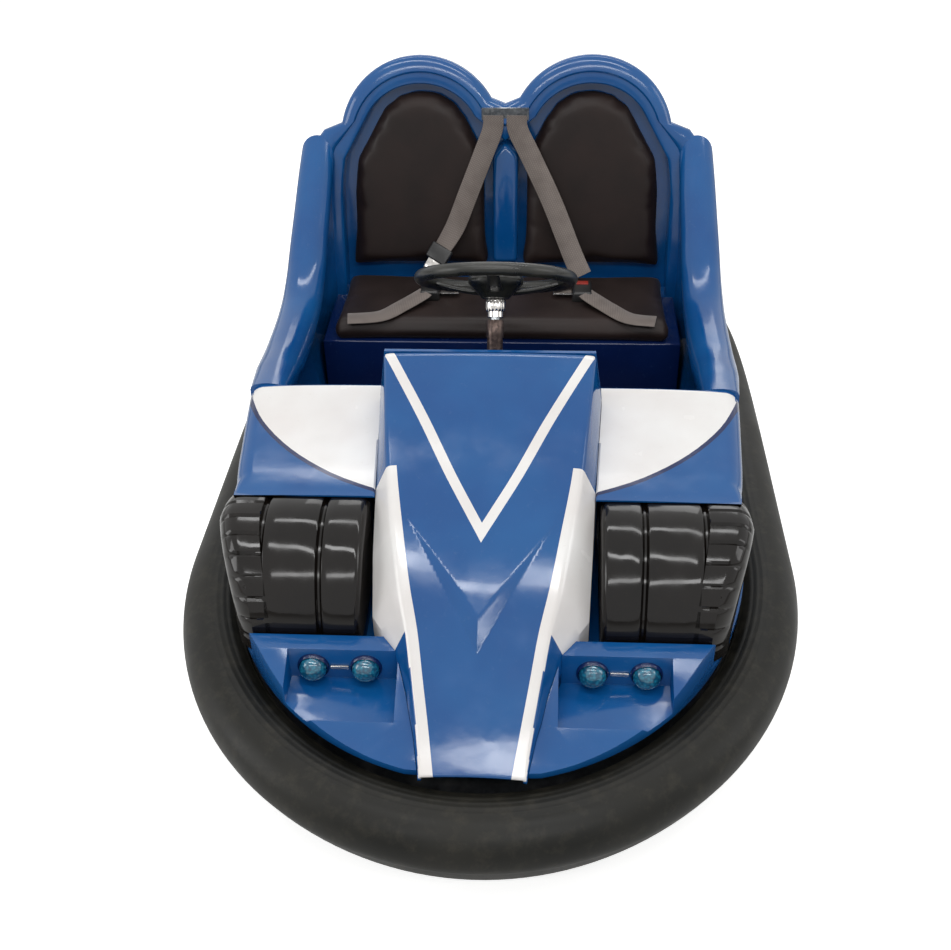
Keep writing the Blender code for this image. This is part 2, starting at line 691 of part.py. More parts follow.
COLUMN = Vector((0, math.cos(COLUMN_TILT), math.sin(COLUMN_TILT)))
WHEEL_CENTRE = Vector((0, WHEEL_Y, WHEEL_Z))
PANEL_Y = DASH_Y + GAP


def on_column(distance):
    """A point on the steering axis, that far below the rim's centre."""
    return WHEEL_CENTRE - COLUMN * distance


def make_dash():
    y, half, top, wide, shoulder = HOOD[0]
    low = FLOOR_Z + GAP
    outline = [(-wide, low), (wide, low), (wide, shoulder), (half, top), (-half, top),
               (-wide, shoulder)]
    panel = add_object("dash_panel", prism("dash_panel", outline, PANEL_Y, PANEL_Y + SKIN, "Y"),
                       "blue_gelcoat")
    cut(panel, rod("column_hole", on_column(0.30), on_column(0.70), COLUMN_RADIUS + 0.002, 24))

    column = add_object("steering_column", rod("steering_column", on_column(0.080), on_column(0.500),
                                               COLUMN_RADIUS, 24), "zinc_steel")
    cut(column, rod("column_bore", on_column(0.05), on_column(0.60), SHAFT_RADIUS + PIN_PLAY, 24))

    # A plate under the dash carries the column's upper end in a clamp.
    grip = on_column(0.225)
    face = PANEL_Y + SKIN + GAP
    bracket = add_object("column_bracket", box("column_bracket", (-0.05, face, grip.z - 0.035),
                                               (0.05, face + 0.005, grip.z + 0.035)), "frame_steel")
    join(bracket, box("bracket_arm", (-0.022, face + 0.001, grip.z - 0.020),
                      (0.022, grip.y + 0.012, grip.z + 0.020)))
    cut(bracket, rod("bracket_bore", on_column(0.05), on_column(0.40), COLUMN_RADIUS + GAP, 24))

    floor = FLOOR_Z + GAP
    hinge_y = DASH_Y + 0.093
    left, right = -0.168, -0.092        # outer faces of the bracket's ears
    stand = add_object("pedal_bracket", box("pedal_bracket", (left - 0.012, hinge_y - 0.040, floor),
                                            (right + 0.012, hinge_y + 0.040, floor + 0.006)), "frame_steel")
    for x in (left, right - 0.006):
        join(stand, box("pedal_ear", (x, hinge_y - 0.015, floor + 0.003),
                        (x + 0.006, hinge_y + 0.015, floor + 0.040)))
    start = (left + 0.006 + GAP, hinge_y, floor + 0.026)
    end = (right - 0.006 - GAP, hinge_y, floor + 0.026)
    pedal = add_object("accelerator_pedal", rod("accelerator_pedal", start, end, 0.008, 16), "black_plastic")
    lift = ((hinge_y, floor + 0.020), (hinge_y + 0.006, floor + 0.030),
            (hinge_y - 0.075, floor + 0.115), (hinge_y - 0.081, floor + 0.109))
    join(pedal, prism("pedal_plate", lift, left + 0.012, right - 0.012, "X"))


def make_steering_wheel(joint):
    tube = WHEEL_TUBE
    radius = WHEEL_DIAMETER / 2 - tube
    steps = 12
    profile = [(radius + tube * math.cos(2 * math.pi * i / steps), -tube * math.sin(2 * math.pi * i / steps))
               for i in range(steps)]
    rim = turned("steering_rim", "wheel_urethane", profile, WHEEL_CENTRE, COLUMN, 40, joint)
    spokes = []
    spokes.append(rod("boss", (0, 0, -0.044), (0, 0, -0.0145), 0.030, 28))
    for angle in (math.radians(90), math.radians(210), math.radians(330)):
        start = Vector((0.020 * math.cos(angle), 0.020 * math.sin(angle), -0.030))
        end = Vector(((radius - tube + 0.006) * math.cos(angle), (radius - tube + 0.006) * math.sin(angle), 0))
        spokes.append(rod("spoke", start, end, 0.0075, 10))
    for spoke in spokes:
        join_local(rim, spoke)
    turned("steering_pad", "wheel_urethane",
           [(0.0, 0.014), (0.030, 0.012), (0.046, 0.000), (0.046, -0.014), (0.0, -0.014)],
           WHEEL_CENTRE, COLUMN, 28, joint)
    shaft_top, shaft_end = 0.0443, 0.54
    shaft = add_object("steering_shaft", rod("steering_shaft", on_column(shaft_top),
                                             on_column(shaft_end), SHAFT_RADIUS, 20), "zinc_steel")
    join(shaft, rod("shaft_head", on_column(shaft_top), on_column(0.074), 0.015, 20))
    ride(shaft, joint)


def join_local(target, mesh):
    """Joins a mesh that is given in the target's own turned frame."""
    other = cutter(mesh)
    other.rotation_euler = target.rotation_euler
    other.location = world_of(target)
    step = target.modifiers.new("union", "BOOLEAN")
    step.object = other
    step.operation = "UNION"


# ---- lamps and belts --------------------------------------------------------------------------------------

def make_lamps():
    for side_name, side in (("left", 1), ("right", -1)):
        near, far = pocket_ends()
        for place_name, share in (("inner", 0.305), ("outer", 0.784)):
            x = near + (far - near) * share
            radius = LAMP_RADIUS
            profile = [(0.0, 0.030), (radius * 0.5, 0.028), (radius * 0.85, 0.021), (radius * 0.93, 0.010),
                       (radius, 0.009), (radius, 0.0), (0.0, 0.0)]
            turned("headlamp_%s_%s" % (side_name, place_name), "lamp_lens", profile,
                   (side * x, LAMP_WALL_Y - GAP, LAMP_Z), (0, -1, 0), 24)


def ribbon(name, finish, points, across, width=BELT_WIDTH, thick=BELT_THICKNESS):
    """A flat strap along points; across gives the strap's width direction at each point."""
    loops = []
    for i, point in enumerate(points):
        before = Vector(points[max(i - 1, 0)])
        after = Vector(points[min(i + 1, len(points) - 1)])
        along = (after - before).normalized()
        side = Vector(across[i] if isinstance(across, list) else across)
        side = (side - along * side.dot(along)).normalized()
        normal = along.cross(side)
        centre = Vector(point)
        loops.append([centre + side * (width / 2 * a) + normal * (thick / 2 * b)
                      for a, b in ((-1, -1), (1, -1), (1, 1), (-1, 1))])
    return add_object(name, loft(name, loops), finish)


def before_back(x, z, stand_off):
    """A point that far before the seat back's front plane."""
    return (x, back_plane(z) - stand_off, z)


def seat_top_at(y):
    """The bench cushion's top, which falls a little towards the back."""
    front = SEAT_FRONT + SEAT_ROUND
    return SEAT_TOP - SEAT_FALL * max(y - front, 0) / (back_plane(SEAT_TOP) - SEAT_BACK_GAP - front)


def make_belts():
    anchor_z = NOTCH_HEIGHT - 0.018
    face = back_plane(anchor_z)
    tall = 0.014
    reach = face - tall * BACK_LEAN - GAP
    plate = box("belt_anchor", (-0.055, reach - 0.005, anchor_z - tall), (0.055, reach, anchor_z + tall))
    add_object("belt_anchor", plate, "zinc_steel")
    start = 0.028
    high = anchor_z - tall - 0.0008
    side = cockpit_half_width() / 2
    drop = high - SEAT_TOP
    strands = (
        ("shoulder_belt_right", -1, 0.25,       # share of half the seat, of the way up, distance from the back
         ((0.260, 0.770, 0.012), (0.425, 0.530, 0.016), (0.600, 0.290, 0.022), (0.750, 0.137, 0.035))),
        ("shoulder_belt_left", 1, 0.30,
         ((0.300, 0.770, 0.016), (0.550, 0.500, 0.045), (0.790, 0.202, 0.085), (0.900, 0.090, 0.110))),
    )
    for name, way, tilt, rest_of_it in strands:
        points = [before_back(way * start, high, 0.004), before_back(way * start, high - 0.03, 0.006)]
        points += [before_back(way * share * side, SEAT_TOP + up * drop, off) for share, up, off in rest_of_it]
        ribbon(name, "belt_webbing", points, [(1, 0, 0), (1, 0, 0.05)] + [(1, 0, tilt)] * 4)
    rest = SEAT_TOP + BELT_THICKNESS / 2 + 0.001
    outer = cockpit_half_width() - 0.030
    for name, way, inner in (("lap_belt_left", 1, side + 0.001), ("lap_belt_right", -1, side - 0.014)):
        lap = [(way * inner, SEAT_FRONT + 0.117, rest + 0.012),
               (way * (inner + 0.040), SEAT_FRONT + 0.077, rest + 0.005),
               (way * (inner + 0.085), SEAT_FRONT + 0.037, rest),
               (way * (outer - 0.030), SEAT_FRONT + 0.024, rest)]
        ribbon(name, "belt_webbing", lap, (way * 0.6, 1.0, 0))
    y = SEAT_FRONT + 0.157
    for name, x in (("belt_buckle_left", side - 0.018), ("belt_buckle_right", 0.034 - side)):
        z = seat_top_at(y - 0.034) + 0.013 + GAP
        case = add_object(name, box(name, (x - 0.024, y - 0.034, z - 0.013), (x + 0.024, y + 0.034, z + 0.013)),
                          "black_plastic")
        round_edges(case, 0.006, 1)


# ---- running gear -----------------------------------------------------------------------------------------

def wheel_pair(tyre_name, hub_name, centre, radius, width, bore, joint):
    """A tyre on its hub, turned about X."""
    half = width / 2
    seat = radius * 0.68
    turned(tyre_name, "tyre_rubber",
           [(seat + GAP, half * 0.9), (radius - 0.008, half), (radius - 0.002, half * 0.8), (radius, half * 0.5),
            (radius, -half * 0.5), (radius - 0.002, -half * 0.8), (radius - 0.008, -half),
            (seat + GAP, -half * 0.9)], centre, (1, 0, 0), 48, joint)
    turned(hub_name, "zinc_steel",
           [(bore, half * 0.95), (bore + 0.010, half * 0.95), (bore + 0.011, half * 0.5),
            (seat - 0.008, half * 0.5), (seat - 0.006, half * 0.85), (seat, half * 0.85),
            (seat, -half * 0.85), (seat - 0.006, -half * 0.85), (seat - 0.008, -half * 0.5),
            (bore + 0.011, -half * 0.5), (bore + 0.010, -half * 0.95), (bore, -half * 0.95)],
           centre, (1, 0, 0), 48, joint)


def make_rear_wheels():
    for label, side in (("left", 1), ("right", -1)):
        x = side * REAR_TRACK / 2
        centre = Vector((x, REAR_AXLE_Y, REAR_RADIUS))
        joint = joint_empty("rear_spin_" + label, centre)
        pin = 0.010
        wheel_pair("rear_tyre_" + label, "rear_hub_" + label, centre, REAR_RADIUS, REAR_WIDTH,
                   pin + PIN_PLAY, joint)
        top = FLOOR_Z - PAN_WALL - GAP
        near = REAR_WIDTH / 2 + RUNNING
        plate = 0.006
        fork = add_object("rear_fork_" + label,
                          box("rear_fork_" + label, (x - near - plate, REAR_AXLE_Y - 0.045, top - plate),
                              (x + near + plate, REAR_AXLE_Y + 0.045, top)), "frame_steel")
        leg = ((REAR_AXLE_Y - 0.040, top - 0.003), (REAR_AXLE_Y + 0.040, top - 0.003),
               (REAR_AXLE_Y + 0.018, REAR_RADIUS - 0.020), (REAR_AXLE_Y - 0.018, REAR_RADIUS - 0.020))
        for start in (x - near - plate, x + near):
            join(fork, prism("leg", leg, start, start + plate, "X"))
        join(fork, rod("pin", (x - near - plate - 0.006, REAR_AXLE_Y, REAR_RADIUS),
                       (x + near + plate + 0.006, REAR_AXLE_Y, REAR_RADIUS), pin, 24))


def make_drive_unit():
    centre = Vector((0, DRIVE_Y, DRIVE_RADIUS))
    steer = joint_empty("drive_steer", (0, DRIVE_Y, FLOOR_Z))
    spin = joint_empty("drive_spin", centre, steer)
    pin = 0.012
    wheel_pair("drive_tyre", "drive_hub", centre, DRIVE_RADIUS, DRIVE_WIDTH, pin + PIN_PLAY, spin)

    # A fixed bridge over the hole carries the steering bearing.
    bridge_z = 2 * DRIVE_RADIUS + 0.092
    hole = DRIVE_SWING + RUNNING
    leg = 0.008
    bridge = add_object("drive_bridge", box("drive_bridge", (-hole - leg, DRIVE_Y - 0.035, bridge_z),
                                            (hole + leg, DRIVE_Y + 0.035, bridge_z + 0.008)), "frame_steel")
    for x in (-hole - leg, hole):
        join(bridge, box("bridge_leg", (x, DRIVE_Y - 0.035, FLOOR_Z + GAP), (x + leg, DRIVE_Y + 0.035,
                                                                              bridge_z + 0.004)))
    for x in (-hole - leg - 0.025, hole):
        join(bridge, box("bridge_foot", (x, DRIVE_Y - 0.035, FLOOR_Z + GAP), (x + leg + 0.025, DRIVE_Y + 0.035,
                                                                               FLOOR_Z + 0.006)))
    join(bridge, rod("bearing", (0, DRIVE_Y, bridge_z + 0.002), (0, DRIVE_Y, bridge_z + 0.040), 0.030, 28))
    kingpin = 0.014
    cut(bridge, rod("bearing_bore", (0, DRIVE_Y, bridge_z - 0.02), (0, DRIVE_Y, bridge_z + 0.06),
                    kingpin + PIN_PLAY, 24))

    near = DRIVE_WIDTH / 2 + RUNNING
    plate = 0.008
    head = bridge_z - 0.006
    crown = 2 * DRIVE_RADIUS + 0.012
    fork = add_object("drive_fork", box("drive_fork", (-near - plate, DRIVE_Y - 0.045, crown),
                                        (near + plate, DRIVE_Y + 0.045, crown + 0.008)), "frame_steel")
    for start in (-near - plate, near):
        join(fork, box("fork_leg", (start, DRIVE_Y - 0.030, DRIVE_RADIUS - 0.022),
                       (start + plate, DRIVE_Y + 0.030, crown + 0.004)))
    join(fork, rod("axle", (-near - plate - 0.008, DRIVE_Y, DRIVE_RADIUS),
                   (near + plate + 0.008, DRIVE_Y, DRIVE_RADIUS), pin, 24))
    join(fork, rod("thrust", (0, DRIVE_Y, crown + 0.004), (0, DRIVE_Y, head), 0.032, 28))
    join(fork, rod("kingpin", (0, DRIVE_Y, head - 0.01), (0, DRIVE_Y, bridge_z + 0.048), kingpin, 24))
    ride(fork, steer)

    # The motor hangs on one leg of the fork and drives the hub through a chain case.
    motor = add_object("drive_motor", rod("drive_motor", (near + plate + GAP, DRIVE_Y + 0.002, DRIVE_RADIUS + 0.078),
                                          (near + plate + 0.062, DRIVE_Y + 0.002, DRIVE_RADIUS + 0.078), 0.045, 32), "motor_paint")
    ride(motor, steer)
    low, high = DRIVE_RADIUS - 0.030, DRIVE_RADIUS + 0.130
    case = ((DRIVE_Y - 0.020, low), (DRIVE_Y + 0.020, low), (DRIVE_Y + 0.030, high),
            (DRIVE_Y - 0.030, high))
    cover = add_object("chain_case", prism("chain_case", case, -near - plate - 0.034, -near - plate - GAP, "X"),
                       "motor_paint")
    cut(cover, rod("case_bore", (-0.2, DRIVE_Y, DRIVE_RADIUS), (0, DRIVE_Y, DRIVE_RADIUS), pin + GAP, 24))
    ride(cover, steer)


def main():
    make_floor()
    make_bumper()
    make_hood()
    for label, side in (("left", 1), ("right", -1)):
        make_pod("lamp_pod_" + label, side)
        make_faux_tyre("faux_tyre_" + label, side)
        make_cowl("cowl_" + label, side)
        make_side_wall("side_wall_" + label, side)
    make_rear_shell()
    make_seat()
    make_dash()
    make_steering_wheel(joint_empty("wheel_turn", WHEEL_CENTRE))
    make_lamps()
    make_belts()
    make_rear_wheels()
    make_drive_unit()


main()
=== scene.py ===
import math

import bpy
import bmesh
from mathutils import Matrix, Vector


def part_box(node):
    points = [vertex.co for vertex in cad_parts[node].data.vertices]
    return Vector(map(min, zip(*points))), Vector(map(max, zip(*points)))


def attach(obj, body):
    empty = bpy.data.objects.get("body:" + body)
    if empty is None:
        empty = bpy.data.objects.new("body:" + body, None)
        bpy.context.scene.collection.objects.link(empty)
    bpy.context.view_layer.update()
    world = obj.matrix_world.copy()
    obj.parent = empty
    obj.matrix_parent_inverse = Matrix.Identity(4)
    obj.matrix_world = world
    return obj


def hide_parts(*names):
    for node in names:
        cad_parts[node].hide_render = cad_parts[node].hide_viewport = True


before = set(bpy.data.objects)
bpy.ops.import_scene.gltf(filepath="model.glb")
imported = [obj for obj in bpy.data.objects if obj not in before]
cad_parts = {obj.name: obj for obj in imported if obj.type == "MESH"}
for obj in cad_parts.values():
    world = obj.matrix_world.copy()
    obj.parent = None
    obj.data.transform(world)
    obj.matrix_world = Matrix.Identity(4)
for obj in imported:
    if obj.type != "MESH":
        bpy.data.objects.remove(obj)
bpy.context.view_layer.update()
print("frame loaded:", len(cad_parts), "nodes")


# ---------- small helpers for shapes

def mix(a, b, share):
    return a + (b - a) * share


def clamp(value, low=0.0, high=1.0):
    return min(max(value, low), high)


def readTable(rows, at, smooth=True):
    # values between the rows of a table, found by its first column
    rows = sorted(rows)
    at = clamp(at, rows[0][0], rows[-1][0])
    i = max(k for k in range(len(rows) - 1) if rows[k][0] <= at)
    low, high = rows[i], rows[i + 1]
    before, after = rows[max(i - 1, 0)], rows[min(i + 2, len(rows) - 1)]
    span = high[0] - low[0]
    t = (at - low[0]) / span
    values = []
    for k in range(1, len(low)):
        if not smooth:
            values.append(mix(low[k], high[k], t))
            continue
        slopeIn = (high[k] - before[k]) / (high[0] - before[0]) * span
        slopeOut = (after[k] - low[k]) / (after[0] - low[0]) * span
        values.append((2 * t ** 3 - 3 * t ** 2 + 1) * low[k] + (t ** 3 - 2 * t ** 2 + t) * slopeIn
                      + (3 * t ** 2 - 2 * t ** 3) * high[k] + (t ** 3 - t ** 2) * slopeOut)
    return values


def smoothLine(points, steps, closed=False):
    # a smooth line through the points, with that many steps between each two
    points = [Vector(p) for p in points]
    count = len(points)
    line = []
    for i in range(count if closed else count - 1):
        if closed:
            a, b, c, d = (points[(i + k) % count] for k in (-1, 0, 1, 2))
        else:
            a, b, c, d = (points[clamp(i + k, 0, count - 1)] for k in (-1, 0, 1, 2))
        for step in range(steps):
            t = step / steps
            line.append(0.5 * ((2 * b) + (c - a) * t + (2 * a - 5 * b + 4 * c - d) * t * t
                               + (3 * b - a - 3 * c + d) * t ** 3))
    return line if closed else line + [points[-1]]


def sweep(bm, loops, closedLoop=True, closedPath=False):
    # extrudes the first loop's edges through all the others; the ends stay open
    first = [bm.verts.new(p) for p in loops[0]]
    ends = first[1:] + first[:1] if closedLoop else first[1:]
    edges = [bm.edges.new(pair) for pair in zip(first, ends)]
    order = first
    for loop in list(loops[1:]) + ([loops[0]] if closedPath else []):
        made = bmesh.ops.extrude_edge_only(bm, edges=edges)["geom"]
        fresh = {tuple(v.co): v for v in made if isinstance(v, bmesh.types.BMVert)}
        order = [fresh[tuple(v.co)] for v in order]
        kept = set(order)
        edges = [e for e in made if isinstance(e, bmesh.types.BMEdge)
                 and e.verts[0] in kept and e.verts[1] in kept]
        for vert, point in zip(order, loop):
            vert.co = point
    if closedPath:
        bmesh.ops.remove_doubles(bm, verts=bm.verts, dist=0.00001)


def closeEnds(bm):
    bmesh.ops.edgeloop_fill(bm, edges=[e for e in bm.edges if e.is_boundary])


def spun(bm, profile, steps=48, axis=(0, 0, 1), centre=(0, 0, 0)):
    # a profile of (radius, height), turned about Z and then laid along the axis
    start = [bm.verts.new((r, 0, h)) for r, h in profile]
    edges = [bm.edges.new(pair) for pair in zip(start, start[1:])]
    bmesh.ops.spin(bm, geom=start + edges, cent=(0, 0, 0), axis=(0, 0, 1), angle=math.tau,
                   steps=steps, use_merge=True, use_duplicate=False)
    bmesh.ops.remove_doubles(bm, verts=bm.verts, dist=0.00001)
    turn = Vector(axis).to_track_quat("Z", "Y").to_matrix().to_4x4()
    bmesh.ops.transform(bm, matrix=Matrix.Translation(centre) @ turn, verts=bm.verts)


def roundedBox(low, high, radius, segments=3):
    bm = bmesh.new()
    bmesh.ops.create_cube(bm, size=1.0)
    low, high = Vector(low), Vector(high)
    bmesh.ops.scale(bm, vec=high - low, verts=bm.verts)
    bmesh.ops.translate(bm, vec=(low + high) / 2, verts=bm.verts)
    bmesh.ops.bevel(bm, geom=bm.edges[:], offset=radius, affect="EDGES", segments=segments,
                    profile=0.5, material=-1, clamp_overlap=True)
    return bm


def copyOfNode(name):
    # the frame's own mesh, merged and with its flat faces whole again
    bm = bmesh.new()
    bm.from_mesh(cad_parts[name].data)
    bmesh.ops.remove_doubles(bm, verts=bm.verts, dist=0.00002)
    bmesh.ops.dissolve_limit(bm, angle_limit=math.radians(0.6), verts=bm.verts, edges=bm.edges,
                             use_dissolve_boundaries=False)
    return bm


def roundEdges(bm, width, segments=3, angle=28):
    sharp = [e for e in bm.edges if len(e.link_faces) == 2
             and e.calc_face_angle(0) > math.radians(angle)]
    bmesh.ops.bevel(bm, geom=sharp, offset=width, affect="EDGES", segments=segments, profile=0.5,
                    material=-1, clamp_overlap=True)


def finishPiece(name, bm, finishes, body, nodes=(), smooth=35):
    bmesh.ops.remove_doubles(bm, verts=bm.verts, dist=0.00001)
    bmesh.ops.recalc_face_normals(bm, faces=bm.faces)
    mesh = bpy.data.meshes.new(name)
    bm.to_mesh(mesh)
    bm.free()
    for finish in finishes:
        mesh.materials.append(finish)
    mesh.shade_smooth()
    mesh.set_sharp_from_angle(angle=math.radians(smooth))
    piece = bpy.data.objects.new(name, mesh)
    bpy.context.scene.collection.objects.link(piece)
    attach(piece, body)
    if nodes:
        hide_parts(*nodes)
    return piece


# ---------- small helpers for materials

def hexColour(code):
    parts = [int(code[i:i + 2], 16) / 255 for i in (1, 3, 5)]
    return tuple(c / 12.92 if c <= 0.04045 else ((c + 0.055) / 1.055) ** 2.4 for c in parts) + (1.0,)


def addNode(tree, kind, inputs=None, stops=(), **settings):
    node = tree.nodes.new(kind)
    for key, value in settings.items():
        setattr(node, key, value)
    for key, value in (inputs or {}).items():
        if isinstance(value, bpy.types.NodeSocket):
            tree.links.new(value, node.inputs[key])
        else:
            node.inputs[key].default_value = value
    for number, (at, colour) in enumerate(stops):
        element = node.color_ramp.elements[number] if number < 2 else node.color_ramp.elements.new(at)
        element.position = at
        element.color = colour
    return node


def newMaterial(name, **values):
    made = bpy.data.materials.new(name)
    made.use_nodes = True
    tree = made.node_tree
    shader = tree.nodes["Principled BSDF"]
    for key, value in values.items():
        shader.inputs[key].default_value = value
    return made, tree, shader


def grey(value):
    return (value, value, value, 1.0)


def objectPlace(tree):
    return addNode(tree, "ShaderNodeTexCoord").outputs["Object"]


def noise(tree, place, size, detail=2.0, roughness=0.5):
    # patches of about this size, in metres
    return addNode(tree, "ShaderNodeTexNoise", {"Vector": place, "Scale": 1 / size, "Detail": detail,
                                                "Roughness": roughness}).outputs["Fac"]


def ramp(tree, factor, low, dark, high, light):
    return addNode(tree, "ShaderNodeValToRGB", {"Fac": factor},
                   stops=((low, dark), (high, light))).outputs["Color"]


def blend(tree, share, under, over):
    return addNode(tree, "ShaderNodeMix", {0: share, 6: under, 7: over}, data_type="RGBA").outputs[2]


def spread(tree, value, low, high, toLow, toHigh):
    return addNode(tree, "ShaderNodeMapRange", {"Value": value, "From Min": low, "From Max": high,
                                                "To Min": toLow, "To Max": toHigh}).outputs["Result"]


def bumped(tree, height, strength, distance, under=None):
    inputs = {"Height": height, "Strength": strength, "Distance": distance}
    if under is not None:
        inputs["Normal"] = under
    return addNode(tree, "ShaderNodeBump", inputs).outputs["Normal"]


def dress(tree, shader, colour, normal, roughness=None):
    tree.links.new(colour, shader.inputs["Base Color"])
    tree.links.new(normal, shader.inputs["Normal"])
    if roughness is not None:
        tree.links.new(roughness, shader.inputs["Roughness"])


# ---------- materials

gelcoats = {
    "blue": {"dark": "#084b89", "light": "#0d5592", "dust": "#54729a", "rough": 0.15,
             "gloss": 0.5},
    "white": {"dark": "#e2dedb", "light": "#ecebe9", "dust": "#c9c2b8", "rough": 0.20,
              "gloss": 0.5},
    "black": {"dark": "#0b0807", "light": "#15110e", "dust": "#3c352e", "rough": 0.12,
              "gloss": 0.3},
    # the dark navy of the outline lines along the white, also used as painted shade on the seat base and
    # toe boards
    "outline": {"dark": "#0b1d4a", "light": "#0e2354", "dust": "#3f5478", "rough": 0.20,
                "gloss": 0.5},
}


def fibreglassGelcoat(colour):
    # polyester gelcoat sprayed in a mould and polished: deep gloss, faint ripple, fine scuffs and dust
    look = gelcoats[colour]
    made, tree, shader = newMaterial("polishedGelcoat_" + colour, **{
        "IOR": 1.47, "Coat Weight": 0.15, "Coat Roughness": 0.05, "Coat IOR": 1.5,
        "Specular IOR Level": look["gloss"]})
    place = objectPlace(tree)
    base = ramp(tree, noise(tree, place, 0.16, 3.0),
                0.35, hexColour(look["dark"]), 0.68, hexColour(look["light"]))
    dusty = ramp(tree, noise(tree, place, 0.012, 6.0, 0.7), 0.60, grey(0.0), 0.85, grey(0.35))
    dull = spread(tree, noise(tree, place, 0.05, 5.0), 0.35, 0.75,
                  look["rough"] - 0.05, look["rough"] + 0.09)
    # the mould's ripple is about 25 mm long, with a fine orange peel of 3 mm on it
    slow = bumped(tree, noise(tree, place, 0.025, 1.0), 0.10, 0.002)
    fine = bumped(tree, noise(tree, place, 0.003, 1.0), 0.05, 0.0004, slow)
    dress(tree, shader, blend(tree, dusty, base, hexColour(look["dust"])), fine, dull)
    return made


rubbers = {
    "bumper": {"dark": "#141411", "light": "#21201c", "dust": "#5d584b", "rough": 0.46, "dusty": 0.22},
    "tyre": {"dark": "#181817", "light": "#242322", "dust": "#6e685e", "rough": 0.62, "dusty": 0.5},
}


def mouldedRubber(kind):
    # carbon-black rubber from a steel mould: satin, with a pale bloom and trodden-in dust
    look = rubbers[kind]
    made, tree, shader = newMaterial("mouldedRubber_" + kind, **{"IOR": 1.5, "Specular IOR Level": 0.22})
    place = objectPlace(tree)
    cloud = noise(tree, place, 0.14, 4.0)
    base = ramp(tree, cloud, 0.32, hexColour(look["dark"]), 0.70, hexColour(look["light"]))
    bloom = ramp(tree, noise(tree, place, 0.03, 8.0, 0.68), 0.50, grey(0.0), 0.82, grey(look["dusty"]))
    dull = spread(tree, cloud, 0.3, 0.7, look["rough"] - 0.08, look["rough"] + 0.08)
    # the mould's spark-eroded grain, about 1.2 mm across
    grain = bumped(tree, noise(tree, place, 0.0012), 0.22, 0.0004)
    dress(tree, shader, blend(tree, bloom, base, hexColour(look["dust"])), grain, dull)
    return made


metals = {
    "frame": {"dark": "#1b1c1e", "light": "#26282b", "worn": "#4b4a48", "metal": 0.0, "rough": 0.42},
    "zinc": {"dark": "#8d9194", "light": "#b4b7b9", "worn": "#77726a", "metal": 1.0, "rough": 0.34},
    "motor": {"dark": "#45494c", "light": "#565a5e", "worn": "#2c2c2c", "metal": 0.2, "rough": 0.45},
    "chrome": {"dark": "#b9b6b2", "light": "#d2cfcb", "worn": "#8a7f76", "metal": 1.0, "rough": 0.12},
    "column": {"dark": "#4a3e3a", "light": "#6b5b54", "worn": "#37302c", "metal": 0.7, "rough": 0.36},
}


def coatedMetal(kind):
    # painted, zinc-plated or chromed steel: small spangle or brush marks, rubbed and dirty in places
    look = metals[kind]
    made, tree, shader = newMaterial("coatedSteel_" + kind, Metallic=look["metal"])
    place = objectPlace(tree)
    spangle = addNode(tree, "ShaderNodeTexVoronoi", {"Vector": place, "Scale": 1 / 0.006})
    base = ramp(tree, spangle.outputs["Color"],
                0.2, hexColour(look["dark"]), 0.8, hexColour(look["light"]))
    grime = noise(tree, place, 0.04, 7.0)
    rubbed = ramp(tree, grime, 0.52, grey(0.0), 0.74, grey(0.6))
    dull = spread(tree, grime, 0.3, 0.75, look["rough"] - 0.06, look["rough"] + 0.14)
    dress(tree, shader, blend(tree, rubbed, base, hexColour(look["worn"])),
          bumped(tree, grime, 0.08, 0.0006), dull)
    return made


def seatVinyl():
    # PVC leathercloth: warm black, 2 mm leather grain pressed in, soft sheen, duller where it is rubbed
    made, tree, shader = newMaterial("grainedLeathercloth", **{
        "IOR": 1.45, "Specular IOR Level": 0.3, "Sheen Weight": 0.02, "Sheen Roughness": 0.5})
    place = objectPlace(tree)
    cloud = noise(tree, place, 0.12, 4.0)
    base = ramp(tree, cloud, 0.35, hexColour("#1a110f"), 0.70, hexColour("#251a17"))
    cells = addNode(tree, "ShaderNodeTexVoronoi", {"Vector": place, "Scale": 1 / 0.0022},
                    feature="DISTANCE_TO_EDGE")
    grain = bumped(tree, cells.outputs["Distance"], 0.25, 0.0005)
    dress(tree, shader, base, grain, spread(tree, cloud, 0.3, 0.7, 0.40, 0.54))
    return made


def beltWebbing():
    # woven polyester webbing: grey warp ribs along the strap, a fine twill across them
    made, tree, shader = newMaterial("wovenWebbing", **{"Roughness": 0.72, "IOR": 1.5,
                                                        "Sheen Weight": 0.25, "Sheen Roughness": 0.4})
    flat = addNode(tree, "ShaderNodeUVMap", uv_map="strap").outputs["UV"]
    ribs = addNode(tree, "ShaderNodeTexWave", {"Vector": flat, "Scale": 1 / 0.0105, "Distortion": 0.0},
                   wave_type="BANDS", bands_direction="X")
    picks = addNode(tree, "ShaderNodeTexWave", {"Vector": flat, "Scale": 1 / 0.009, "Distortion": 0.4},
                    wave_type="BANDS", bands_direction="DIAGONAL")
    weave = addNode(tree, "ShaderNodeMath", {0: ribs.outputs["Fac"], 1: picks.outputs["Fac"]},
                    operation="MULTIPLY").outputs[0]
    threads = ramp(tree, weave, 0.0, hexColour("#635a55"), 0.7, hexColour("#857b74"))
    soiled = ramp(tree, noise(tree, objectPlace(tree), 0.03, 5.0), 0.45, grey(0.0), 0.75, grey(0.5))
    dress(tree, shader, blend(tree, soiled, threads, hexColour("#554c46")),
          bumped(tree, weave, 0.5, 0.0005))
    return made


plastics = {
    "urethane": {"dark": "#1c1d1a", "light": "#292924", "rough": 0.31, "grain": 0.0012},
    "plastic": {"dark": "#151515", "light": "#1f1f1f", "rough": 0.38, "grain": 0.0009},
    "battery": {"dark": "#17181a", "light": "#212327", "rough": 0.50, "grain": 0.0015},
    "button": {"dark": "#7d1f17", "light": "#92281d", "rough": 0.35, "grain": 0.0009},
}


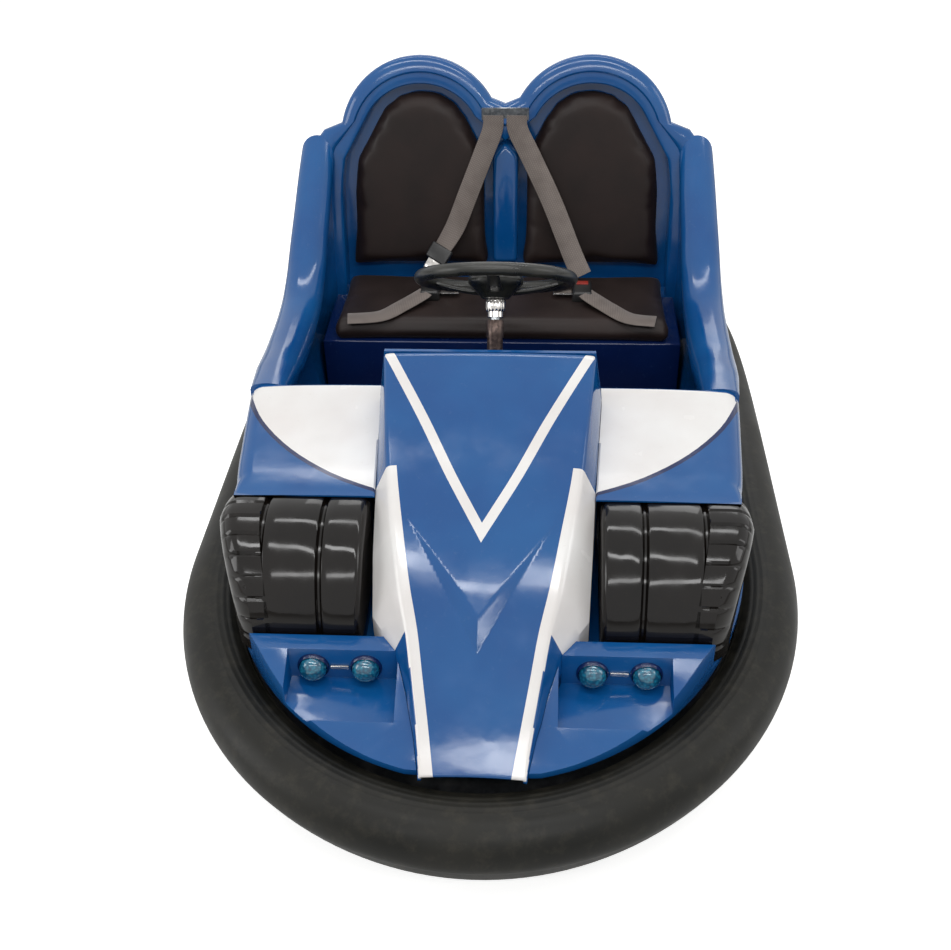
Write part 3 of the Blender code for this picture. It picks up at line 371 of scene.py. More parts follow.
def mouldedPlastic(kind):
    # injection-moulded ABS or self-skinned urethane foam: even colour, pressed grain, worn to a shine
    look = plastics[kind]
    made, tree, shader = newMaterial("mouldedPlastic_" + kind, IOR=1.5)
    place = objectPlace(tree)
    cloud = noise(tree, place, 0.05, 4.0)
    base = ramp(tree, cloud, 0.35, hexColour(look["dark"]), 0.70, hexColour(look["light"]))
    dull = spread(tree, cloud, 0.3, 0.7, look["rough"] - 0.08, look["rough"] + 0.08)
    dress(tree, shader, base, bumped(tree, noise(tree, place, look["grain"]), 0.2, 0.0003), dull)
    return made


def lampLens():
    # tinted polycarbonate lens: teal, glossy, moulded in fine prisms
    made, tree, shader = newMaterial("tintedPolycarbonate", **{
        "IOR": 1.58, "Roughness": 0.08, "Coat Weight": 0.6, "Coat Roughness": 0.04})
    prisms = addNode(tree, "ShaderNodeTexVoronoi", {"Vector": objectPlace(tree), "Scale": 1 / 0.005},
                     feature="SMOOTH_F1").outputs["Distance"]
    base = ramp(tree, prisms, 0.1, hexColour("#22809a"), 0.6, hexColour("#0a4a66"))
    dress(tree, shader, base, bumped(tree, prisms, 0.35, 0.001))
    return made


blue = fibreglassGelcoat("blue")
white = fibreglassGelcoat("white")
black = fibreglassGelcoat("black")
navyOutlineAndPaintedShade = fibreglassGelcoat("outline")
ringRubber = mouldedRubber("bumper")
tyreRubber = mouldedRubber("tyre")
frameSteel = coatedMetal("frame")
zincSteel = coatedMetal("zinc")
motorPaint = coatedMetal("motor")
chrome = coatedMetal("chrome")
columnSteel = coatedMetal("column")
vinyl = seatVinyl()
webbing = beltWebbing()
urethane = mouldedPlastic("urethane")
plastic = mouldedPlastic("plastic")
batteryCase = mouldedPlastic("battery")
buttonRed = mouldedPlastic("button")
lens = lampLens()

slotFinish = {
    "blue_gelcoat": blue, "white_gelcoat": white, "black_gelcoat": black, "ring_rubber": ringRubber,
    "tyre_rubber": tyreRubber, "frame_steel": frameSteel, "zinc_steel": zincSteel,
    "cushion_vinyl": vinyl, "belt_webbing": webbing, "wheel_urethane": urethane, "lamp_lens": lens,
    "battery_case": batteryCase, "motor_paint": motorPaint, "black_plastic": plastic,
}
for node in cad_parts.values():
    for place in node.material_slots:
        wanted = [slot for slot in slotFinish if place.material.name.startswith(slot)]
        if wanted:
            place.material = slotFinish[wanted[0]]
        else:
            print("no finish for", node.name, place.material.name)
print("materials made")


# ---------- the car's plan and main places, from the frame

ringLow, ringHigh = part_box("bumper_ring")
hoodLow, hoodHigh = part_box("nose_hood")
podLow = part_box("lamp_pod_left")[0]
tyreLow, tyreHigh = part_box("faux_tyre_left")
cowlLow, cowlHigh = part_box("cowl_left")
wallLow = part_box("side_wall_left")[0]
shellLow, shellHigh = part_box("rear_shell")
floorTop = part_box("floor_pan")[1].z
benchLow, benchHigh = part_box("seat_cushion")

carPlan = {
    "noseLength": 0.694, "tailPower": 6.0, "ringThickness": 0.115, "bodyInset": 0.111,
    "frontTuck": 0.024, "lean": 0.25,
}
halfWidth = ringHigh.x
noseY = ringLow.y + carPlan["noseLength"]
tailLength = ringHigh.y - noseY
bodyBase = podLow.z
dashY, tipY, dashZ = hoodHigh.y, hoodLow.y, hoodHigh.z
insideX = wallLow.x
bulkheadY = wallLow.y


def planHalf(y, inset):
    if y <= noseY:
        along = clamp((noseY - y) / (carPlan["noseLength"] - inset))
        return (halfWidth - inset) * math.sqrt(1 - along * along)
    along = clamp((y - noseY) / (tailLength - inset))
    return (halfWidth - inset) * (1 - along ** carPlan["tailPower"]) ** (1 / carPlan["tailPower"])


def bodyHalf(y):
    tuck = carPlan["frontTuck"] * clamp(-y / 0.38)
    return planHalf(y, carPlan["bodyInset"]) - tuck


def planLoop(inset, steps=40):
    # the whole outline from the front tip, anticlockwise
    half = []
    for i in range(steps + 1):
        angle = math.pi / 2 * i / steps
        half.append(((halfWidth - inset) * math.sin(angle),
                     noseY - (carPlan["noseLength"] - inset) * math.cos(angle)))
    power = 2 / carPlan["tailPower"]
    for i in range(1, 2 * steps + 1):
        angle = math.pi / 2 * i / (2 * steps)
        half.append(((halfWidth - inset) * math.cos(angle) ** power if i < 2 * steps else 0.0,
                     noseY + (tailLength - inset) * math.sin(angle) ** power))
    return half + [(-x, y) for x, y in half[1:-1]][::-1]


def backPlane(z):
    # the seat back's front plane leans rearwards
    return shellLow.y + (z - bodyBase) * carPlan["lean"]


# ---------- bumper ring

ring = {
    "section": ((1.00, 0.16), (0.94, 0.03), (0.78, 0.00), (0.60, 0.04), (0.40, 0.17), (0.20, 0.36),
                (0.05, 0.55), (0.00, 0.68), (0.06, 0.83), (0.22, 0.94), (0.44, 1.00), (0.70, 0.99),
                (0.92, 0.93), (1.00, 0.82)),   # inset and height, as shares of the section
    "ridges": (0.52, 0.62, 0.72, 0.82),        # places of the moulded ridges on the top, by inset
    "ridgeHeight": 0.0016,
    "ridgeWidth": 0.035,
}


def makeRing():
    thick, tall = carPlan["ringThickness"], ringHigh.z - ringLow.z
    profile = smoothLine([(a, b, 0) for a, b in ring["section"]], 8, closed=True)
    shape = []
    for point in profile:
        inset, rise = clamp(point.x), clamp(point.y)
        lift = 0.0
        if rise > 0.6:
            lift = sum(math.exp(-((inset - at) / ring["ridgeWidth"]) ** 2 * 2.2)
                       for at in ring["ridges"])
        shape.append((inset * thick, ringLow.z + rise * tall + (lift - 1) * ring["ridgeHeight"]
                      * (1 if rise > 0.6 else 0)))
    plans = [planLoop(inset) for inset, _ in shape]
    loops = [[(plans[k][i][0], plans[k][i][1], z) for k, (_, z) in enumerate(shape)]
             for i in range(len(plans[0]))]
    bm = bmesh.new()
    sweep(bm, loops, closedPath=True)
    return finishPiece("bumperRing", bm, [ringRubber], "car_body", ["bumper_ring"], 60)


makeRing()
print("bumper ring made")


# ---------- nose hood

hood = {
    "rows": (   # share of the way to the tip; top's half width and height; foot's half width, height
        (0.000, 0.934, 1.000, 1.000, 0.733), (0.196, 0.868, 0.841, 0.958, 0.631),
        (0.339, 0.807, 0.695, 0.929, 0.558), (0.482, 0.726, 0.582, 0.906, 0.437),
        (0.607, 0.646, 0.458, 0.882, 0.248), (0.704, 0.566, 0.340, 0.660, 0.208),
        (0.797, 0.509, 0.226, 0.557, 0.119), (0.897, 0.448, 0.113, 0.472, 0.059),
        (1.000, 0.392, 0.027, 0.410, 0.015)),
    "edgeRadius": 0.009,
    "crown": 0.004,
    "skin": 0.006,
    "stripe": (0.015, 0.021),       # edge stripe's width where it starts and at the tip
    "whiteFrom": 0.315,             # the white side panels, by share of the way to the tip
    "whiteTo": 0.703,
    "vStripe": {"topX": 0.196, "topShare": 0.012, "tipShare": 0.516, "width": 0.0175},
    "arrow": {"topX": 0.129, "topShare": 0.455, "tipShare": 0.752, "facet": 0.030, "raise": 0.0155},
}


def hoodSpot(share):
    return mix(dashY, tipY, share)


def hoodShare(y):
    return clamp((y - dashY) / (tipY - dashY))


def hoodAt(y):
    share = hoodShare(y)
    half, top, _, _ = readTable(hood["rows"], share)
    _, _, wide, low = readTable(hood["rows"], share, smooth=False)
    rise = dashZ - bodyBase
    return half * hoodHigh.x, bodyBase + top * rise, wide * hoodHigh.x, bodyBase + low * rise


def hoodSection(y, footZ):
    half, top, wide, low = hoodAt(y)
    low = min(low, top - 0.004)
    wide = max(wide, half + 0.002)
    edge = Vector((half, top))
    wall = (Vector((wide, low)) - edge).normalized()
    radius = min(hood["edgeRadius"], (Vector((wide, low)) - edge).length * 0.4)
    onWall, onTop = edge + wall * radius, edge - Vector((radius, 0))
    points = [(wide, footZ), (wide, mix(footZ, low, 0.5)), (wide, low)]
    points += [tuple(mix(Vector((wide, low)), onWall, share)) for share in (0.25, 0.5, 0.75, 1.0)]
    for t in (0.25, 0.5, 0.75, 1.0):
        bent = onWall * (1 - t) ** 2 + edge * 2 * t * (1 - t) + onTop * t * t
        points.append(tuple(bent))
    stripe = mix(hood["stripe"][0], hood["stripe"][1], hoodShare(y))
    inner = half - stripe
    points.append((inner, top + hood["crown"] * (1 - (inner / half) ** 2)))
    columns = 26
    for i in range(1, columns + 1):
        x = inner * (1 - i / columns)
        points.append((x, top + hood["crown"] * (1 - (x / half) ** 2)))
    return points


def vLines(spec):
    # the leg of a V on the +X side: its top and tip in plan, and its outward normal
    top = Vector((spec["topX"], hoodSpot(spec["topShare"])))
    tip = Vector((0.0, hoodSpot(spec["tipShare"])))
    along = (tip - top).normalized()
    return top, tip, Vector((-along.y, along.x)) * (1 if -along.y > 0 else -1)


def makeHood():
    lowY = tyreLow.y + 0.013
    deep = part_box("nose_hood")[0].z
    shares = [i / 150 for i in range(151)]
    ys = [hoodSpot(s) for s in shares]
    loops = []
    for number, y in enumerate(ys):
        footZ = deep if y > lowY else bodyBase
        half = hoodSection(y, footZ)
        drop = (0.005, 0.0012)[number] if number < 2 else 0.0
        right = [(x, y, z - (drop if z > footZ + 0.01 else 0)) for x, z in half]
        left = [(-x, py, z) for x, py, z in right[:-1]][::-1]
        loops.append(right + left)
    loops[1] = [(x, dashY - 0.004, z) for x, _, z in loops[1]]
    bm = bmesh.new()
    sweep(bm, loops, closedLoop=False)

    # the V stripe's and the arrow's edges are cut into the top so that they stay crisp
    bm.normal_update()
    spec = hood["vStripe"]
    top, tip, out = vLines(spec)
    arrow = hood["arrow"]
    arrowTop, arrowTip, arrowOut = vLines(arrow)
    upper = arrowTip - arrowOut * arrow["facet"]
    upperNormal = (arrowTop - upper)
    upperNormal = Vector((-upperNormal.y, upperNormal.x)).normalized()
    cuts = [(top, out), (top - out * spec["width"], out), (arrowTop, arrowOut), (arrowTop, upperNormal)]
    for point, normal in cuts:
        for side in (1, -1):
            bm.normal_update()
            faces = [f for f in bm.faces
                     if abs(f.normal.z) > 0.25 and side * f.calc_center_median().x > 0]
            around = {v for f in faces for v in f.verts} | {e for f in faces for e in f.edges}
            bmesh.ops.bisect_plane(bm, geom=list(around) + faces, dist=0.000001,
                                   plane_co=(side * point.x, point.y, 0),
                                   plane_no=(side * normal.x, normal.y, 0))
    bmesh.ops.recalc_face_normals(bm, faces=bm.faces)
    for vert in bm.verts:
        spot = Vector((abs(vert.co.x), vert.co.y))
        half = hoodAt(spot.y)[0]
        if spot.x > half - 0.001 or vert.co.z < hoodAt(spot.y)[1] - 0.003:
            continue
        inward = (arrowTop - spot).dot(arrowOut)
        share = clamp((arrowTop.y - spot.y) / (arrowTop.y - arrowTip.y), 0.0, 2.0)
        if inward > 0:
            vert.co.z += min(arrow["raise"] * share, arrow["raise"] * inward / arrow["facet"])
    whiteFrom, whiteTo = hoodSpot(hood["whiteFrom"]), hoodSpot(hood["whiteTo"])
    for face in bm.faces:
        spot = face.calc_center_median()
        half, topZ, _, _ = hoodAt(spot.y)
        stripe = mix(hood["stripe"][0], hood["stripe"][1], hoodShare(spot.y))
        onWall = spot.z < topZ - 0.0035
        onStripe = not onWall and abs(spot.x) > half - stripe
        inward = (top - Vector((abs(spot.x), spot.y))).dot(out)
        onV = 0 < inward < spec["width"] and not onWall and spot.y > tip.y - 0.03
        isWhite = (onWall and whiteTo < spot.y < whiteFrom) or (onStripe and spot.y < whiteFrom) or onV
        face.material_index = 1 if isWhite else 0
    piece = finishPiece("noseHood", bm, [blue, white], "car_body", ["nose_hood"], 24)
    wall = piece.modifiers.new("wall", "SOLIDIFY")
    wall.thickness = hood["skin"]
    wall.offset = -1
    return piece


makeHood()
print("nose hood made")


# ---------- lamp pods, lamps

pod = {"edge": 0.0045, "segments": 3}
lamp = {"radius": 0.0235, "bezel": 0.0275, "dome": 0.019}


def makePod(label):
    bm = copyOfNode("lamp_pod_" + label)
    roundEdges(bm, pod["edge"], pod["segments"])
    return finishPiece("lampPod_" + label, bm, [blue], "car_body",
                       ["lamp_pod_" + label], 30)


def makeLamp(label, place):
    low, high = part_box("headlamp_%s_%s" % (label, place))
    centre = Vector(((low.x + high.x) / 2, high.y, (low.z + high.z) / 2))
    r, rise = lamp["radius"], lamp["dome"]
    dome = [(r * math.cos(a), 0.008 + rise * math.sin(a)) for a in
            [math.pi / 2 * i / 10 for i in range(11)]]
    dome[-1] = (0.0, 0.008 + rise)
    glass = bmesh.new()
    spun(glass, [(0.0, 0.001), (r, 0.001)] + dome, 40, (0, -1, 0), centre)
    name = "headlamp_%s_%s" % (label, place)
    finishPiece("lens_%s_%s" % (label, place), glass, [lens], "car_body", [name], 40)
    ringProfile = [(r + 0.0004, 0.0), (lamp["bezel"], 0.0), (lamp["bezel"], 0.004),
                   (lamp["bezel"] - 0.0015, 0.0065), (r + 0.0015, 0.0075), (r + 0.0004, 0.006),
                   (r + 0.0004, 0.0)]
    bezel = bmesh.new()
    spun(bezel, ringProfile, 40, (0, -1, 0), centre)
    finishPiece("bezel_%s_%s" % (label, place), bezel, [navyOutlineAndPaintedShade], "car_body",
                (), 40)


def makeLampBar(label):
    # the small plated strip between a pod's two lamps
    boxes = [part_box("headlamp_%s_%s" % (label, place)) for place in ("inner", "outer")]
    middle = (boxes[0][0] + boxes[0][1] + boxes[1][0] + boxes[1][1]) / 4
    face = boxes[0][1].y
    bar = roundedBox((middle.x - 0.016, face - 0.005, middle.z - 0.0035),
                     (middle.x + 0.016, face, middle.z + 0.0035), 0.0015, 2)
    finishPiece("lampBar_" + label, bar, [chrome], "car_body", (), 40)


for label, side in (("left", 1), ("right", -1)):
    makeLampBar(label)
    makePod(label)
    for place in ("inner", "outer"):
        makeLamp(label, place)
print("lamp pods made")


# ---------- moulded tyres beside the nose

fauxTyre = {
    "grooves": (0.283, 0.388),      # places of the grooves round it, from the car's middle
    "grooveDepth": 0.0075,
    "grooveWidth": 0.0085,
    "cuts": 15,                     # cross cuts round the outer rib
    "cutDepth": 0.0035,
    "shoulder": 0.034,
}


def makeFauxTyre(side, label):
    low, high = tyreLow, tyreHigh
    radius = (high.y - low.y) / 2
    middleY = (high.y + low.y) / 2
    middleZ = high.z - radius
    full = planHalf(middleY, carPlan["bodyInset"])
    inner, outer = low.x, high.x
    stations = []       # distance from the middle, radius lost, share of the plan's bend, cross cut
    stations += [(inner, 0.010, 0, 0), (inner + 0.003, 0.005, 0, 0), (inner + 0.008, 0.001, 0, 0)]
    ribEnds = [inner + 0.014]
    for at in fauxTyre["grooves"]:
        w, d = fauxTyre["grooveWidth"], fauxTyre["grooveDepth"]
        ribEnds += [at - w, at + w]
        stations += [(mix(ribEnds[-3], at - w, s), 0.0, 0.15, 0) for s in (0.0, 0.35, 0.7, 1.0)]
        stations += [(at - w * 0.7, 0.0012, 0.15, 0), (at - w * 0.45, d * 0.8, 0.15, 0),
                     (at - w * 0.2, d, 0.15, 0), (at + w * 0.2, d, 0.15, 0),
                     (at + w * 0.45, d * 0.8, 0.15, 0), (at + w * 0.7, 0.0012, 0.15, 0)]
    end = outer - fauxTyre["shoulder"]
    stations += [(mix(ribEnds[-1], end, s), 0.0, 0.6, 1) for s in (0.0, 0.4, 0.8)]
    for i in range(1, 9):
        angle = math.pi / 2 * i / 8
        stations.append((end + fauxTyre["shoulder"] * math.sin(angle),
                         0.036 * (1 - math.cos(angle)), 0.9, 1 if i < 6 else 0))
    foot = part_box("faux_tyre_left")[0].z
    steps = 120
    loops = []
    for x, less, bend, cut in stations:
        r = radius - less
        drop = math.asin((middleZ - foot) / r)
        loop = []
        for i in range(steps + 1):
            angle = -drop + (math.pi + 2 * drop) * i / steps
            phase = (i / steps * fauxTyre["cuts"]) % 1.0
            notch = fauxTyre["cutDepth"] * cut if phase < 0.12 else 0.0
            y = middleY + (r - notch) * math.cos(angle)
            share = min(planHalf(y, carPlan["bodyInset"]) / full, 1.0)
            loop.append((side * x * (1 + bend * (share - 1)), y,
                         middleZ + (r - notch) * math.sin(angle)))
        loops.append(loop)
    bm = bmesh.new()
    sweep(bm, loops)
    closeEnds(bm)
    return finishPiece("fauxTyre_" + label, bm, [black], "car_body",
                       ["faux_tyre_" + label], 32)


for label, side in (("left", 1), ("right", -1)):
    makeFauxTyre(side, label)
print("moulded tyres made")


# ---------- cowl and side walls, one moulding to the eye

lipY, lipZ = cowlHigh.y, cowlHigh.z
cowl = {
    "crownGap": 0.0015,
    "front": 0.040,             # how far behind the tyre's middle the cowl starts
    "roll": 0.034,              # radius over its outer edge
    "lipRadius": 0.007,
    "boundary": ((0.190, -0.392), (0.287, -0.350), (0.371, -0.290), (0.438, -0.214),
                 (0.472, -0.143), (0.486, -0.085), (0.492, -0.050)),  # edge of the white, in plan
    "outline": 0.0040,          # half the width of the dark line along the white
}
boundaryLine = [(p.x, p.y) for p in smoothLine([(x, y, 0) for x, y in cowl["boundary"]], 4)]


def boundarySide(x, y):
    # how far inside the white a place is; positive on the hood's side of the boundary
    best = None
    points = boundaryLine
    for (ax, ay), (bx, by) in zip(points, points[1:]):
        dx, dy = bx - ax, by - ay
        length = math.hypot(dx, dy)
        t = ((x - ax) * dx + (y - ay) * dy) / length ** 2
        tight = clamp(t)
        gap = math.hypot(x - ax - dx * tight, y - ay - dy * tight)
        sign = 1 if (x - ax) * dy - (y - ay) * dx < 0 else -1
        if best is None or gap < abs(best):
            best = gap * sign
    return best


def cutBoundary(bm, side):
    bm.normal_update()
    points = boundaryLine
    for (ax, ay), (bx, by) in zip(points, points[1:]):
        normal = Vector((by - ay, ax - bx)).normalized()
        for offset in (-cowl["outline"], cowl["outline"]):
            faces = []
            for f in bm.faces:
                c = f.calc_center_median()
                if ay - 0.03 < c.y < by + 0.03 and ax - 0.03 < abs(c.x) < bx + 0.03:
                    faces.append(f)
            around = {v for f in faces for v in f.verts} | {e for f in faces for e in f.edges}
            bmesh.ops.bisect_plane(bm, geom=list(around) + faces, dist=0.000001,
                                   plane_co=(side * (ax + normal.x * offset), ay + normal.y * offset, 0),
                                   plane_no=(side * normal.x, normal.y, 0))


def paintCowl(bm, frontY, lowest):
    for face in bm.faces:
        c = face.calc_center_median()
        x, y = abs(c.x), c.y
        inside = boundarySide(x, y)
        if y < frontY or c.z < lowest:
            face.material_index = 0
        elif inside > cowl["outline"]:
            face.material_index = 1
        elif inside > -cowl["outline"]:
            face.material_index = 2
        else:
            face.material_index = 0


def cowlTop(y):
    crown = tyreHigh.z + 0.001
    rows = ((tyreHigh.y - 0.168 + 0.030, crown - 0.001), (-0.384, crown), (-0.330, crown + 0.010),
            (bulkheadY, crown + 0.022), (-0.160, lipZ - 0.005), (lipY - 0.02, lipZ - 0.001),
            (lipY, lipZ))
    return readTable(rows, y)[0]


def makeCowl(side, label):
    radius = (tyreHigh.y - tyreLow.y) / 2 + cowl["crownGap"]
    middleY = (tyreHigh.y + tyreLow.y) / 2
    middleZ = tyreHigh.z - (tyreHigh.y - tyreLow.y) / 2
    foot = cowlLow.z
    front = middleY + cowl["front"]
    loops = []
    behind = middleY + radius

    def section(y, bottom, outer, rolled):
        inner = hoodAt(y)[2] + 0.001
        top = cowlTop(y)
        roll = min(cowl["roll"], max(top - bottom, 0.004) * 0.9) if rolled else 0.002
        points = [(inner, bottom), (inner, top - 0.003), (inner + 0.003, top)]
        flatEnd = outer - roll
        points += [(mix(inner + 0.003, flatEnd, i / 16), top - 0.006 * (i / 16) ** 3)
                   for i in range(1, 17)]
        for i in range(1, 9):
            angle = math.pi / 2 * i / 8
            points.append((flatEnd + roll * math.sin(angle), top - 0.006 - roll * (1 - math.cos(angle))))
        points.append((outer, mix(top - 0.006 - roll, bottom, 0.5)))
        points.append((outer, bottom))
        return [(side * x, y, z) for x, z in points]

    for i in range(19):
        y = mix(front, behind - 0.0005, i / 18)
        reach = radius ** 2 - (y - middleY) ** 2
        bottom = middleZ + math.sqrt(max(reach, 0.0))
        bottom = min(bottom, cowlTop(y) - 0.002)
        loops.append(section(y, bottom, bodyHalf(y), True))
    loops.append(section(behind, foot, bodyHalf(behind), True))
    loops.append(section(bulkheadY, foot, bodyHalf(bulkheadY), True))
    bm = bmesh.new()
    sweep(bm, loops)
    closeEnds(bm)
    cutBoundary(bm, side)
    paintCowl(bm, front + 0.002, tyreHigh.z - 0.004)
    finishPiece("cowl_" + label, bm, [blue, white, navyOutlineAndPaintedShade], "car_body",
                ["cowl_" + label], 30)


def makeCowlLip(side, label):
    # the shelf over the footwell and the outer wall beside it, one moulding up to its rolled edge
    r, roll = cowl["lipRadius"], cowl["roll"]
    rows = [(mix(bulkheadY, lipY - r, i / 12), 0.0) for i in range(13)]
    for i in range(1, 6):
        angle = math.pi / 2 * i / 5
        rows.append((lipY - r + r * math.sin(angle), r * (1 - math.cos(angle))))
    wallX = insideX + 0.001
    loops = []
    for y, drop in rows:
        inner = hoodAt(min(y, dashY))[2] + 0.001
        top, outer = cowlTop(y), bodyHalf(y)
        under = top - 2 * r + drop
        flatEnd = outer - roll
        points = [(inner, under)]
        for i in range(17):
            x = mix(inner, flatEnd, i / 16)
            near = clamp((insideX + 0.02 - x) / 0.02)
            points.append((x, top - drop * near - 0.006 * (i / 16) ** 3))
        for i in range(1, 9):
            angle = math.pi / 2 * i / 8
            points.append((flatEnd + roll * math.sin(angle), top - 0.006 - roll * (1 - math.cos(angle))))
        points += [(outer, mix(top - 0.006 - roll, bodyBase, 0.5)), (outer, bodyBase),
                   (insideX + 0.045, bodyBase), (insideX + 0.045, floorTop + 0.0005),
                   (wallX, floorTop + 0.0005), (wallX, mix(floorTop, under, 0.5)), (wallX, under)]
        loops.append([(side * x, y, z) for x, z in points])
    bm = bmesh.new()
    sweep(bm, loops)
    closeEnds(bm)
    cutBoundary(bm, side)
    paintCowl(bm, -1.0, lipZ - 0.075)
    for face in bm.faces:
        if face.calc_center_median().y > lipY - 0.013:
            face.material_index = 0
    finishPiece("cowlLip_" + label, bm, [blue, white, navyOutlineAndPaintedShade], "car_body", (), 30)


wall = {
    "ridge": ((0.000, -0.006), (0.154, -0.042), (0.331, -0.073), (0.566, -0.052), (0.699, 0.039),
              (0.801, 0.182), (0.882, 0.312), (1.000, 0.555)),   # share of its length, share of the rise
    "roll": 0.044,              # height of the rolled rim above its straight side
    "undercut": 0.012,
    "bulge": 0.012,
}


def wallRidge(y):
    backY = backPlane(0.45)
    climb = shellHigh.z - lipZ
    share = (y - lipY) / (backY - lipY)
    return lipZ + readTable(wall["ridge"], share)[0] * climb


def makeSideWall(side, label):
    backY = backPlane(0.45)
    stations = 60
    loops = []
    for k in range(stations + 1):
        y = mix(lipY, backY, k / stations)
        ridge = wallRidge(y)
        out = bodyHalf(y)
        grow = clamp((y - lipY) / 0.16)
        bulge = wall["bulge"] * grow
        outer, inner = out + bulge, insideX
        roll = mix(cowl["roll"], wall["roll"], grow)
        shear = clamp((y - mix(bulkheadY, backY, 0.62)) / (backY - mix(bulkheadY, backY, 0.62)))
        points = [(out, bodyBase), (out + bulge * 0.5, mix(bodyBase, ridge - roll, 0.4)),
                  (outer, mix(bodyBase, ridge - roll, 0.8))]
        for i in range(17):
            angle = math.pi * i / 16
            x = mix(outer, inner, (1 - math.cos(angle)) / 2)
            points.append((x, ridge - roll + roll * math.sin(angle) ** mix(0.35, 0.85, grow)))
        under = wall["undercut"] * grow
        points += [(inner + under * 0.6, ridge - roll - 0.012), (inner + under, ridge - roll - 0.028)]
        points += [(inner + under * 0.8, mix(ridge - roll - 0.028, floorTop, 0.5)),
                   (inner + 0.001, floorTop + 0.0005), (inner + 0.045, floorTop + 0.0005),
                   (inner + 0.045, bodyBase)]
        loop = []
        for x, z in points:
            loop.append((side * x, y + shear ** 2 * (backPlane(z) - backY), z))
        loops.append(loop)
    bm = bmesh.new()
    sweep(bm, loops)
    closeEnds(bm)
    finishPiece("sideWall_" + label, bm, [blue], "car_body",
                ["side_wall_" + label], 34)


for label, side in (("left", 1), ("right", -1)):
    makeCowl(side, label)
    makeCowlLip(side, label)
    makeSideWall(side, label)
print("cowl and side walls made")


# ---------- rear shell with its two arches

arch = {
    "rise": 0.185, "notch": 0.800, "rim": 0.062, "recess": 0.055, "arcSteps": 30,
    "stations": ((0.0, 0.25, 1.0, 1.0), (0.022, 0.25, 0.994, 0.998), (0.060, 0.23, 0.965, 0.985),
                 (0.115, 0.14, 0.885, 0.95), (0.175, 0.02, 0.70, 0.89), (0.230, -0.09, 0.46, 0.81),
                 (0.262, -0.13, 0.20, 0.77)),   # distance behind, slope, height share, top width share
}
backMiddle = backPlane(0.45)
seatSide = planHalf(backMiddle, carPlan["bodyInset"]) - 0.080
archX, archReach = seatSide * 0.507, seatSide * 0.488
archZ = shellHigh.z - arch["rise"]


def doubled(half):
    return half + [(-x, z) for x, z in half[:-1]][::-1]


def outerOutline(inset=0.0):
    foot = planHalf(backMiddle, carPlan["bodyInset"])
    side = [(foot, bodyBase), (foot + 0.010, bodyBase + 0.20), (foot + 0.008, archZ - 0.10),
            (foot - 0.008, archZ - 0.02), (foot - 0.042, archZ + 0.022)]
    points = [(x - inset, z) for x, z in side]
    for i in range(arch["arcSteps"] + 1):
        angle = math.radians(mix(12, 150, i / arch["arcSteps"]))
        points.append((archX + (archReach - inset) * math.cos(angle),
                       archZ + (arch["rise"] - inset) * math.sin(angle)))
    points.append((0.0, arch["notch"] - inset * 1.2))
    return doubled(points)


def recessOutline(grow=0.0):
    rise = arch["rise"] - arch["rim"] + grow
    foot = benchLow.z - 0.03
    side = [(seatSide + grow, foot), (seatSide + grow, mix(foot, archZ - 0.12, 0.5)),
            (seatSide + grow, archZ - 0.12), (seatSide - 0.004 + grow, archZ - 0.08),
            (seatSide - 0.012 + grow, archZ - 0.04)]
    points = side
    for i in range(arch["arcSteps"] + 1):
        angle = math.radians(mix(25, 155, i / arch["arcSteps"]))
        points.append((archX + (archReach - arch["rim"] + 0.010 + grow) * math.cos(angle),
                       archZ + rise * math.sin(angle)))
    points.append((0.0, arch["notch"] - arch["rim"] - 0.02 + grow))
    return doubled(points)


def makeRearShell():
    def front(outline, depth):
        return [(x, backPlane(z) + depth, z) for x, z in outline]
    loops = [front(recessOutline(), arch["recess"]), front(recessOutline(), 0.012),
             front(recessOutline(0.001), 0.005), front(recessOutline(0.004), 0.0015),
             front(recessOutline(0.010), 0.0)]
    inner, outer = recessOutline(0.010), outerOutline(0.012)
    for share, depth in ((0.35, -0.001), (0.42, -0.001), (0.48, -0.005), (0.56, -0.007), (0.8, -0.006)):
        loops.append(front([(mix(a, c, share), mix(b, d, share)) for (a, b), (c, d) in zip(inner, outer)],
                           depth))
    loops += [front(outer, -0.003), front(outerOutline(0.005), 0.001), front(outerOutline(0.0015), 0.006)]
    outline = outerOutline()
    foot = outline[0][0]
    count = 26
    for k in range(count + 1):
        behind = mix(0.012, 0.262, k / count)
        slope, tall, wide = readTable(arch["stations"], behind)
        baseY = backMiddle + behind + (bodyBase - 0.45) * slope
        baseWide = planHalf(baseY, carPlan["bodyInset"]) / foot
        loop = []
        for x, z in outline:
            height = bodyBase + (z - bodyBase) * tall
            up = min((z - bodyBase) / (arch["notch"] - bodyBase), 1.0)
            loop.append((x * mix(baseWide, wide, up),
                         backMiddle + behind + (height - 0.45) * slope, height))
        loops.append(loop)
    bm = bmesh.new()
    sweep(bm, loops)
    closeEnds(bm)
    piece = finishPiece("rearShell", bm, [blue], "car_body", ["rear_shell"], 32)
    return piece


def makePlainBody(name, node, finish, width, segments=3):
    bm = copyOfNode(node)
    roundEdges(bm, width, segments)
    finishPiece(name, bm, [finish], "car_body", [node], 40)


makeRearShell()
makePlainBody("seatSpine", "seat_spine", blue, 0.012, 4)
# the seat base and toe boards are the same blue gelcoat as the rest; the dark navy on them is painted shade
# for the shadowed cockpit
makePlainBody("seatBase", "seat_base", navyOutlineAndPaintedShade, 0.008)
for label in ("left", "right"):
    makePlainBody("toeBoard_" + label, "toe_board_" + label, navyOutlineAndPaintedShade, 0.0015)
print("rear shell made")


# ---------- cushions

cushion = {"voxel": 0.006, "pressure": 4.0, "frames": 20, "benchCap": 0.010, "backCap": 0.014,
           "shrink": 0.004}


